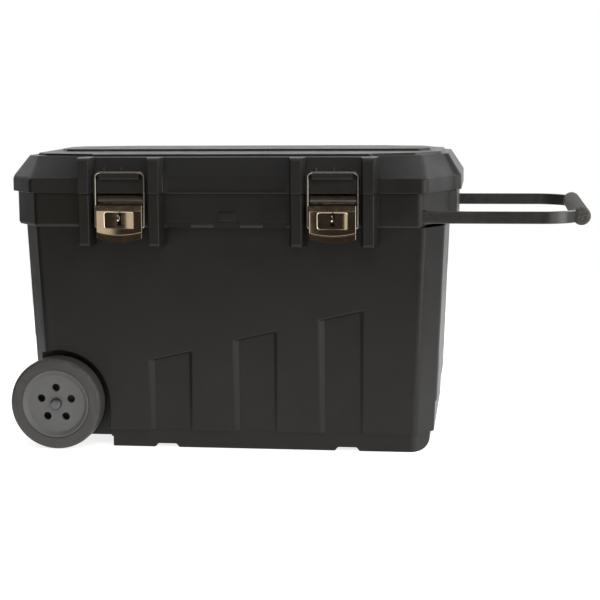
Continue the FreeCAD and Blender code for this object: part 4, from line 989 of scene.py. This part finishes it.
@dataclass
class LatchLever:
    """A pressed nickel lever: crowned plate, dished window, slot, flared lip, side flanges.

    Sizes are in millimetres, with heights measured from the pin's axis.
    """

    finishes: Finishes
    side: Side
    name: str = "latch lever"
    half: float = 38.2
    top: float = 5.6
    low: float = -54.6
    sag: float = 6.8
    sag_start: float = -36.0
    crown: float = 1.5
    roll_start: float = -3.5
    roll_back: float = 2.2
    roll_gap: float = 0.4
    roll_rows: tuple[float, ...] = (-0.25, -0.08, 0.08, 0.25)
    bend: float = -38.5
    bend_sag: float = 5.1
    bend_ease: float = 2.2
    flare: float = 3.6
    flare_run: float = 13.0
    window_half: float = 25.0
    window_low: float = -32.5
    window_top: float = -4.6
    window_step: float = 0.7
    dish: float = 1.9
    dish_power: int = 3
    wall: float = 0.9
    corner: float = 4.0
    slot_half: float = 3.4
    slot_low: float = -28.0
    slot_top: float = -7.0
    slot_slack: float = 0.01
    flange: float = 14.6
    flange_rise: Span = (-43.0, -30.0)
    flange_notch: float = 3.0
    notch_start: float = 2.0
    flange_steps: int = 3
    fold: float = 1.7
    fold_radius: float = 1.0
    fold_middle: Span = (0.35, 0.3)
    sheet: float = 1.2
    crowd: float = 0.15
    columns: int = 60
    rows: int = 84
    box_lip: float = 4.0
    box_top: float = 6.0

    def window_depth(self, x: float, z: float) -> float:
        """Finds how far the window's floor is sunk at a point of the plate.

        Args:
            x: the point's place across the plate.
            z: the point's height.

        Returns:
            The depth.
        """
        middle = (self.window_low + self.window_top) / 2
        height = (self.window_top - self.window_low) / 2
        over_x = abs(x) - (self.window_half - self.corner)
        over_z = abs(z - middle) - (height - self.corner)
        outside = math.hypot(max(over_x, 0.0), max(over_z, 0.0)) - self.corner
        inside = outside + min(max(over_x, over_z), 0.0)
        step = 1.0 - smooth_step(-self.wall, 0.0, inside)
        bowl = 1.0 - min(1.0, abs(x / self.window_half) ** self.dish_power)
        return step * (self.window_step + self.dish * bowl)

    def face(self, x: float, z: float) -> float:
        """Finds how far the plate's front stands behind its frontmost flat.

        Args:
            x: the point's place across the plate.
            z: the point's height.

        Returns:
            The depth.
        """
        side = x / self.half
        back = self.crown * side * side
        if z > self.roll_start:
            back += self.roll_back * (z - self.roll_start) / (self.top - self.roll_start)
        run = self.bend - self.bend_sag * (1 - side * side) - z
        ease = self.bend_ease
        back -= (self.flare * max(0.0, run + ease) / self.flare_run
                 * smooth_step(-ease, ease, run))
        return back + self.window_depth(x, z)

    def flange_depth(self, z: float) -> float:
        """Finds how far the side flange reaches behind the fold.

        Args:
            z: the height.

        Returns:
            The depth.
        """
        risen = smooth_step(*self.flange_rise, z)
        notch = self.flange_notch * smooth_step(self.notch_start, self.top, z)
        return self.fold + (self.flange - self.fold) * risen - notch

    def heights(self) -> list[float]:
        """Heights of the grid's rows, with rows on the slot's ends and at the roll's start.

        Returns:
            The heights, lowest first.
        """
        steps = [step for step in evenly(self.low, self.top, self.rows)
                 if abs(step - self.roll_start) > self.roll_gap]
        steps += [self.roll_start + away for away in self.roll_rows]
        return self.crowded(self.snapped(steps, (self.slot_low, self.slot_top)),
                            self.window_low, self.window_top)

    def stations(self) -> list[float]:
        """Places of the grid's columns, with columns on the slot's sides.

        Returns:
            The places, leftmost first.
        """
        inner = self.half - self.fold_radius
        steps = self.snapped(evenly(-inner, inner, self.columns),
                             (-self.slot_half, self.slot_half))
        return self.crowded(steps, -self.window_half, self.window_half)

    def crowded(self, steps: list[float], low: float, high: float) -> list[float]:
        """Adds steps just outside and inside each edge of the window.

        Args:
            steps: the grid's steps.
            low: the window's lower edge.
            high: the window's upper edge.

        Returns:
            All the steps in order.
        """
        inset = self.wall + self.crowd
        added = [low - self.crowd, low, low + self.wall, low + inset,
                 high + self.crowd, high, high - self.wall, high - inset]
        apart = [s for s in steps if min(abs(s - a) for a in added) > self.crowd]
        return sorted(apart + added)

    @staticmethod
    def snapped(steps: list[float], marks: tuple[float, ...]) -> list[float]:
        """Moves the step nearest to each mark onto it.

        Args:
            steps: the grid's steps, changed in place.
            marks: the places that need a step.

        Returns:
            The same steps.
        """
        for mark in marks:
            nearest = min(range(len(steps)), key=lambda i: abs(steps[i] - mark))
            steps[nearest] = mark
        return steps

    def row(self, height: float) -> list[Point]:
        """Lays out one row of the sheet: left flange, fold, plate, fold, right flange.

        Args:
            height: the row's height at the plate's middle.

        Returns:
            The row's points, left to right.
        """
        low = height < self.sag_start
        sink = smooth_step(self.sag_start, self.low, height) if low else 0.0

        def at(x: float) -> Point:
            """A point of the plate's front."""
            z = height + sink * self.sag * (x / self.half) ** 2
            return (x, self.face(x, z), z)

        _, front, z = at(self.half - self.fold_radius)
        behind = front + self.fold_radius
        deeper = self.flange_depth(z) - self.fold_radius
        folded = [(self.half - self.fold_middle[0], front + self.fold_middle[1], z)]
        folded += [(self.half, behind + deeper * i / self.flange_steps, z)
                   for i in range(self.flange_steps + 1)]
        left = [(-x, y, z) for x, y, z in reversed(folded)]
        return left + [at(x) for x in self.stations()] + folded

    def sheet_mesh(self) -> bmesh.types.BMesh:
        """Makes the lever's front skin, about the pin's axis, with the slot left open.

        Returns:
            The skin.
        """
        bm = bmesh.new()
        slack = self.slot_slack
        heights = self.heights()
        grid = [[bm.verts.new(p) for p in self.row(height)] for height in heights]
        for lower, upper, low, high in zip(grid, grid[1:], heights, heights[1:]):
            for i in range(len(lower) - 1):
                x0, x1 = lower[i].co.x, lower[i + 1].co.x
                in_slot = (x0 > -self.slot_half - slack and x1 < self.slot_half + slack
                           and low > self.slot_low - slack and high < self.slot_top + slack)
                if not in_slot:
                    bm.faces.new((lower[i], lower[i + 1], upper[i + 1], upper[i]))
        bmesh.ops.delete(bm, geom=[v for v in bm.verts if not v.link_faces], context="VERTS")
        return bm

    def build(self) -> list[bpy.types.Object]:
        """Builds, places and dresses the lever.

        Returns:
            The one piece.
        """
        node = "latch_lever_" + self.side.value
        low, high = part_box(node)
        bm = self.sheet_mesh()
        middle = Vector(((low[0] + high[0]) / 2, low[1] + self.box_lip * MM,
                         high[2] - self.box_top * MM))
        bmesh.ops.transform(bm, matrix=Matrix.Translation(middle) @ Matrix.Scale(MM, 4),
                            verts=bm.verts)

        def pressing(carrier: bpy.types.Object) -> None:
            """Gives the skin its thickness.

            Args:
                carrier: the object that holds the skin.
            """
            thick = carrier.modifiers.new("sheet", "SOLIDIFY")
            thick.thickness = self.sheet * MM
            thick.offset = -1.0

        bm = with_modifiers(finished_mesh(bm, node + "_skin"), pressing)
        piece = placed(finished_mesh(bm, node + "_finished"), frame["nodes"][node]["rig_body"],
                       node, flatten=False)
        return [self.finishes.dress(piece, "latch_nickel")]


@dataclass
class HandleGrip:
    """A soft sleeve over the handle's cross bar, with a fine diamond knurl and round ends.

    Sizes are in millimetres.
    """

    finishes: Finishes
    name: str = "handle grip"
    node: str = "handle_grip"
    around: int = 56
    pitch: float = 1.7
    knurl: float = 0.32
    end_round: float = 7.5
    end_steps: int = 6
    full: float = 1e-6

    def profile(self, half: float, radius: float) -> list[Span]:
        """Lays out the sleeve's rings from end to end.

        Args:
            half: half of the sleeve's length.
            radius: the sleeve's radius.

        Returns:
            Each ring's place along the sleeve and its radius.
        """
        turns = [math.radians(90 / self.end_steps * i) for i in range(self.end_steps)]
        start = [(-half + self.end_round * (1 - math.cos(turn)),
                  radius - self.end_round * (1 - math.sin(turn))) for turn in turns]
        straight = half - self.end_round
        middle = [(y, radius) for y in evenly(-straight, straight,
                                              int(2 * straight / self.pitch))]
        return start + middle + [(-y, r) for y, r in reversed(start)]

    def build(self) -> list[bpy.types.Object]:
        """Builds, places and dresses the grip.

        Returns:
            The one piece.
        """
        low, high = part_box(self.node)
        centre = (Vector(low) + Vector(high)) / 2
        radius = (high[2] - low[2]) / 2 / MM
        bm = bmesh.new()
        rings = []
        for place, (y, ring_radius) in enumerate(self.profile((high[1] - low[1]) / 2 / MM,
                                                              radius)):
            ring = []
            knurled = ring_radius >= radius - self.full
            for i in range(self.around):
                turn = 2 * math.pi * i / self.around
                sunk = self.knurl if knurled and (i + place) % 2 else 0.0
                reach = (ring_radius - sunk) * MM
                ring.append(bm.verts.new((centre.x + reach * math.cos(turn),
                                          centre.y + y * MM,
                                          centre.z + reach * math.sin(turn))))
            rings.append(ring)
        join_rings(bm, rings)
        bm.faces.new(rings[0])
        bm.faces.new(list(reversed(rings[-1])))
        bmesh.ops.recalc_face_normals(bm, faces=bm.faces)
        piece = placed(finished_mesh(bm, self.node + "_finished"),
                       frame["nodes"][self.node]["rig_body"], self.node, flatten=False)
        return [self.finishes.dress(piece, "grip_black")]


@dataclass
class HubShadeWeb:
    """A web inside a hub that closes its five holes into pockets, black as painted shade in them.
    """

    finishes: Finishes
    end: End
    name: str = "hub shade web"
    radius: float = 40.0
    bore: float = 9.0
    depth: float = 26.0
    sheet: float = 1.5
    cone: float = 6.0
    around: int = 48

    def build(self) -> list[bpy.types.Object]:
        """Builds, places and dresses the web.

        Returns:
            The one piece.
        """
        node = "hub_" + self.end.value
        low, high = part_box(node)
        outward, face = (-1.0, low[1]) if self.end is End.FRONT else (1.0, high[1])
        centre = Vector(((low[0] + high[0]) / 2, face, (low[2] + high[2]) / 2))
        inner = self.depth - self.cone
        profile = [(self.bore, inner), (self.radius, self.depth),
                   (self.radius, self.depth + self.sheet), (self.bore, inner + self.sheet)]
        bm = bmesh.new()
        rings = [[bm.verts.new((centre.x + r * MM * math.cos(turn),
                                centre.y - outward * d * MM,
                                centre.z + r * MM * math.sin(turn))) for r, d in profile]
                 for turn in (2 * math.pi * i / self.around for i in range(self.around))]
        join_rings(bm, rings + rings[:1])
        bmesh.ops.recalc_face_normals(bm, faces=bm.faces)
        piece = placed(finished_mesh(bm, node + "_painted_shade_web"), frame["nodes"][node]["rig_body"])
        # painted shade: the web's black darkens the pockets behind the hub's holes
        return [self.finishes.dress(piece, "inner_black")]


def both(choice: type[Enum], widths: Span, *stems: str) -> dict[str, Span]:
    """The same widths for both nodes of each stem, such as its left and its right one."""
    return {f"{stem}_{one.value}": widths for stem in stems for one in choice}


# ---------------------------------------------------------------- studio


@dataclass(frozen=True)
class Softbox:
    """A rectangular studio light."""

    name: str
    place: Point
    aim: Point
    size: Span
    power: float
    mirrored: bool = True

    def build(self) -> None:
        """Adds the light to the scene."""
        lamp = bpy.data.lights.new(self.name, "AREA")
        lamp.shape = "RECTANGLE"
        lamp.size, lamp.size_y = self.size
        lamp.energy = self.power
        light = linked(self.name, lamp)
        light.location = self.place
        toward = Vector(self.aim) - Vector(self.place)
        light.rotation_euler = toward.to_track_quat("-Z", "Y").to_euler()
        light.visible_camera = False
        light.visible_glossy = self.mirrored


@dataclass(frozen=True)
class Reflector:
    """A patch of the surround, bounded by spans of the sky's direction."""

    colour: Colour
    across: Span
    upward: Span
    depth: Span
    soft: float = 0.03


class Surround(NodeSheet):
    """The studio's walls as the chest sees them: one tone with patches laid over it."""

    def __init__(self, base: Colour) -> None:
        """Starts the surround.

        Args:
            base: linear tone where no patch lies.
        """
        world = bpy.data.worlds.new("surround")
        bpy.context.scene.world = world
        world.use_nodes = True
        super().__init__(world.node_tree)
        self.tree.nodes.clear()
        split = self.add("ShaderNodeSeparateXYZ")
        self.link(self.add("ShaderNodeTexCoord").outputs["Generated"], split.inputs["Vector"])
        self.direction = split.outputs
        self.colour = self.add("ShaderNodeRGB").outputs[0]
        self.colour.default_value = (*base, 1.0)

    def band(self, axis: str, span: Span, soft: float) -> Field:
        """Makes a field that is 1 inside a span of one axis of the direction.

        Args:
            axis: the axis.
            span: the span.
            soft: half width of each soft end.

        Returns:
            The field.
        """
        rise, fall = (self.ramp(self.direction[axis], (edge - soft, edge + soft), result,
                                "SMOOTHSTEP")
                      for edge, result in zip(span, ((0.0, 1.0), (1.0, 0.0))))
        return self.times(rise, fall)

    def lay(self, patch: Reflector) -> None:
        """Lays a patch over what is there.

        Args:
            patch: the patch.
        """
        across, upward, depth = (self.band(axis, span, patch.soft) for axis, span in
                                 zip("XZY", (patch.across, patch.upward, patch.depth)))
        share = self.times(self.times(across, upward), depth)
        self.colour = self.mix(share, self.colour, patch.colour)

    def finish(self) -> None:
        """Shows the patches in light and gloss, and plain white behind the chest."""
        shine = self.add("ShaderNodeBackground")
        self.link(self.colour, shine.inputs["Color"])
        seen = self.add("ShaderNodeBackground")
        seen.inputs["Color"].default_value = WHITE
        choose = self.add("ShaderNodeMixShader")
        self.link(self.add("ShaderNodeLightPath").outputs["Is Camera Ray"],
                  choose.inputs["Fac"])
        self.link(shine.outputs["Background"], choose.inputs[1])
        self.link(seen.outputs["Background"], choose.inputs[2])
        self.link(choose.outputs["Shader"],
                  self.add("ShaderNodeOutputWorld").inputs["Surface"])


@dataclass
class Studio:
    """Camera, pale floor, surround and softboxes, in metres and radians."""

    place: Point = (0.43078, -2.69380, 0.61561)
    yaw: float = 0.1247
    pitch: float = 0.1423
    roll: float = -0.0076
    focal_pixels: float = 1537.37
    sensor: float = 36.0
    far: float = 50.0
    floor_middle: Point = (0.05, 0.55, 0.0)
    floor_half: Span = (0.98, 2.0)
    floor_sides: int = 96
    floor_colour: Colour = (0.50, 0.50, 0.50)
    floor_cloud: Grain = Grain(0.5)
    floor_shade: float = 0.995
    floor_roughness: float = 0.9
    floor_gloss: float = 0.1
    floor_glow: float = 0.80
    wall: Colour = (0.40, 0.40, 0.40)
    beyond: float = 2.0
    aim: Point = (0.0, 0.0, 0.25)

    def camera(self) -> None:
        """Adds the camera and makes it the scene's."""
        cos, sin = math.cos, math.sin
        forward = Vector((-sin(self.yaw) * cos(self.pitch), cos(self.yaw) * cos(self.pitch),
                          -sin(self.pitch)))
        level = Vector((cos(self.yaw), sin(self.yaw), 0.0))
        raised = level.cross(forward)
        right = cos(self.roll) * level + sin(self.roll) * raised
        up = cos(self.roll) * raised - sin(self.roll) * level
        data = bpy.data.cameras.new("camera")
        data.sensor_fit = "HORIZONTAL"
        data.sensor_width = self.sensor
        data.lens = self.focal_pixels * self.sensor / FRAME_PIXELS
        data.clip_end = self.far
        camera = linked("camera", data)
        turn = Matrix((right, up, -forward)).transposed().to_4x4()
        camera.matrix_world = Matrix.Translation(Vector(self.place)) @ turn
        bpy.context.scene.camera = camera

    def floor(self) -> None:
        """Adds the floor, a plain round sheet lit a little from beneath."""
        bm = bmesh.new()
        bmesh.ops.create_circle(bm, cap_ends=True, radius=1.0, segments=self.floor_sides)
        bmesh.ops.scale(bm, vec=(*self.floor_half, 1.0), verts=bm.verts)
        bmesh.ops.translate(bm, vec=self.floor_middle, verts=bm.verts)
        mesh = bpy.data.meshes.new("floor")
        bm.to_mesh(mesh)
        bm.free()
        sheet = ShaderSheet("pale_floor")
        cloud = sheet.ramp(sheet.noise(self.floor_cloud), MIDDLE)
        mesh.materials.append(sheet.finished({
            "Base Color": sheet.mix(cloud, scaled(self.floor_colour, self.floor_shade),
                                    self.floor_colour),
            "Roughness": self.floor_roughness,
            "Specular IOR Level": self.floor_gloss,
            "Emission Color": WHITE,
            "Emission Strength": self.floor_glow}))
        linked("floor", mesh)

    def surround(self) -> None:
        """Makes the surround: pale behind, dark in front and to the left, grey elsewhere.

        The two bright patches to the right light the chest's corner and the arm's bend. The
        two warm ones in front are what the nickel mirrors.
        """
        surround = Surround(self.wall)
        far = self.beyond
        everywhere = (-far, far)
        for patch in (
                Reflector((0.95, 0.95, 0.95), everywhere, (-far, 0.80), (0.30, far), 0.15),
                Reflector((0.05, 0.05, 0.05), (-far, -0.62), everywhere, (-far, 0.55), 0.12),
                Reflector((0.34, 0.34, 0.34), (0.62, far), everywhere, (-far, 0.40), 0.12),
                Reflector((2.80, 2.72, 2.60), (0.72, 0.97), (-0.5, 0.62), (-0.70, -0.24), 0.05),
                Reflector((0.027, 0.020, 0.015), (-0.80, 0.70), (-far, 0.70), (-far, 0.0), 0.08),
                Reflector((1.10, 1.07, 1.02), (0.46, 0.78), (-0.5, 0.62), (-0.95, -0.50), 0.10),
                Reflector((0.56, 0.47, 0.36), (-0.80, -0.285), (-0.75, 0.10), (-far, -0.30)),
                Reflector((0.80, 0.66, 0.48), (-0.60, 0.30), (0.16, 0.32), (-far, -0.30))):
            surround.lay(patch)
        surround.finish()

    def lights(self) -> None:
        """Adds the softboxes."""
        for box in (
                Softbox("front_fill", (0.6, -2.6, 2.6), self.aim, (2.6, 1.8), 62.0,
                        mirrored=False),
                Softbox("right_box", (3.2, 0.0, 1.5), self.aim, (1.6, 1.6), 60.0),
                Softbox("top_box", (0.0, 1.2, 3.0), self.aim, (2.4, 2.4), 50.0,
                        mirrored=False)):
            box.build()

    def build(self) -> None:
        """Builds the whole studio and sets how its light is shown."""
        self.camera()
        self.floor()
        self.surround()
        self.lights()
        view = bpy.context.scene.view_settings
        view.view_transform = "Standard"
        view.look = "None"


def main() -> None:
    """Builds the chest's sub-assemblies in order, then the studio."""
    logging.basicConfig(level=logging.INFO, format="%(name)s: %(message)s")
    finishes = Finishes()
    groups = [
        SubAssembly(finishes, "shell", {"tub": (1.6, 9.0), "lid": (1.6, 6.0),
                                        "hinge_pins": (0.4, 0.4)}),
        SubAssembly(finishes, "handle", {
            "handle_frame": (0.0, 0.0), "handle_stop_pins": (0.3, 0.3),
            **both(End, (0.5, 0.5), "arm_guide"), "arm_guide_screws": (0.3, 0.3),
            **both(End, (0.5, 0.5), "arm_shelf")}),
        HandleGrip(finishes),
        SubAssembly(finishes, "wheels", {
            **both(End, (1.0, 3.0), "tyre"), **both(End, (0.8, 0.8), "hub"),
            "axle": (0.4, 0.4), "axle_caps": (0.4, 0.8), "axle_washers": (0.3, 0.3),
            "axle_brackets": (0.8, 1.5), "axle_bracket_screws": (0.4, 0.4)}),
        # black webs inside the hubs, painted shade in their holes
        *(HubShadeWeb(finishes, end) for end in End),
        # the latch bases, pins and rivets take the dark nickel copy, which is painted shade
        SubAssembly(finishes, "latch plates", {
            **both(Side, (0.4, 0.4), "latch_base"),
            **both(Side, (0.3, 0.3), "latch_pin", "latch_rivets")}, "plate_nickel_painted_shade"),
        SubAssembly(finishes, "latch loops", {
            **both(Side, (0.4, 0.4), "padlock_staple"),
            **both(Side, (0.0, 0.0), "latch_bail")}),
        *(LatchLever(finishes, side) for side in Side),
        SubAssembly(finishes, "tray", {
            "tray": (0.7, 1.5), "tray_dividers": (0.5, 0.5),
            **both(End, (0.5, 0.5), "tray_rail")}),
    ]
    for group in groups:
        for piece in group.build():
            LOG.info("%s: %s, %d faces", group.name, piece.name, len(piece.data.polygons))
    Studio().build()


if __name__ == "__main__":
    main()
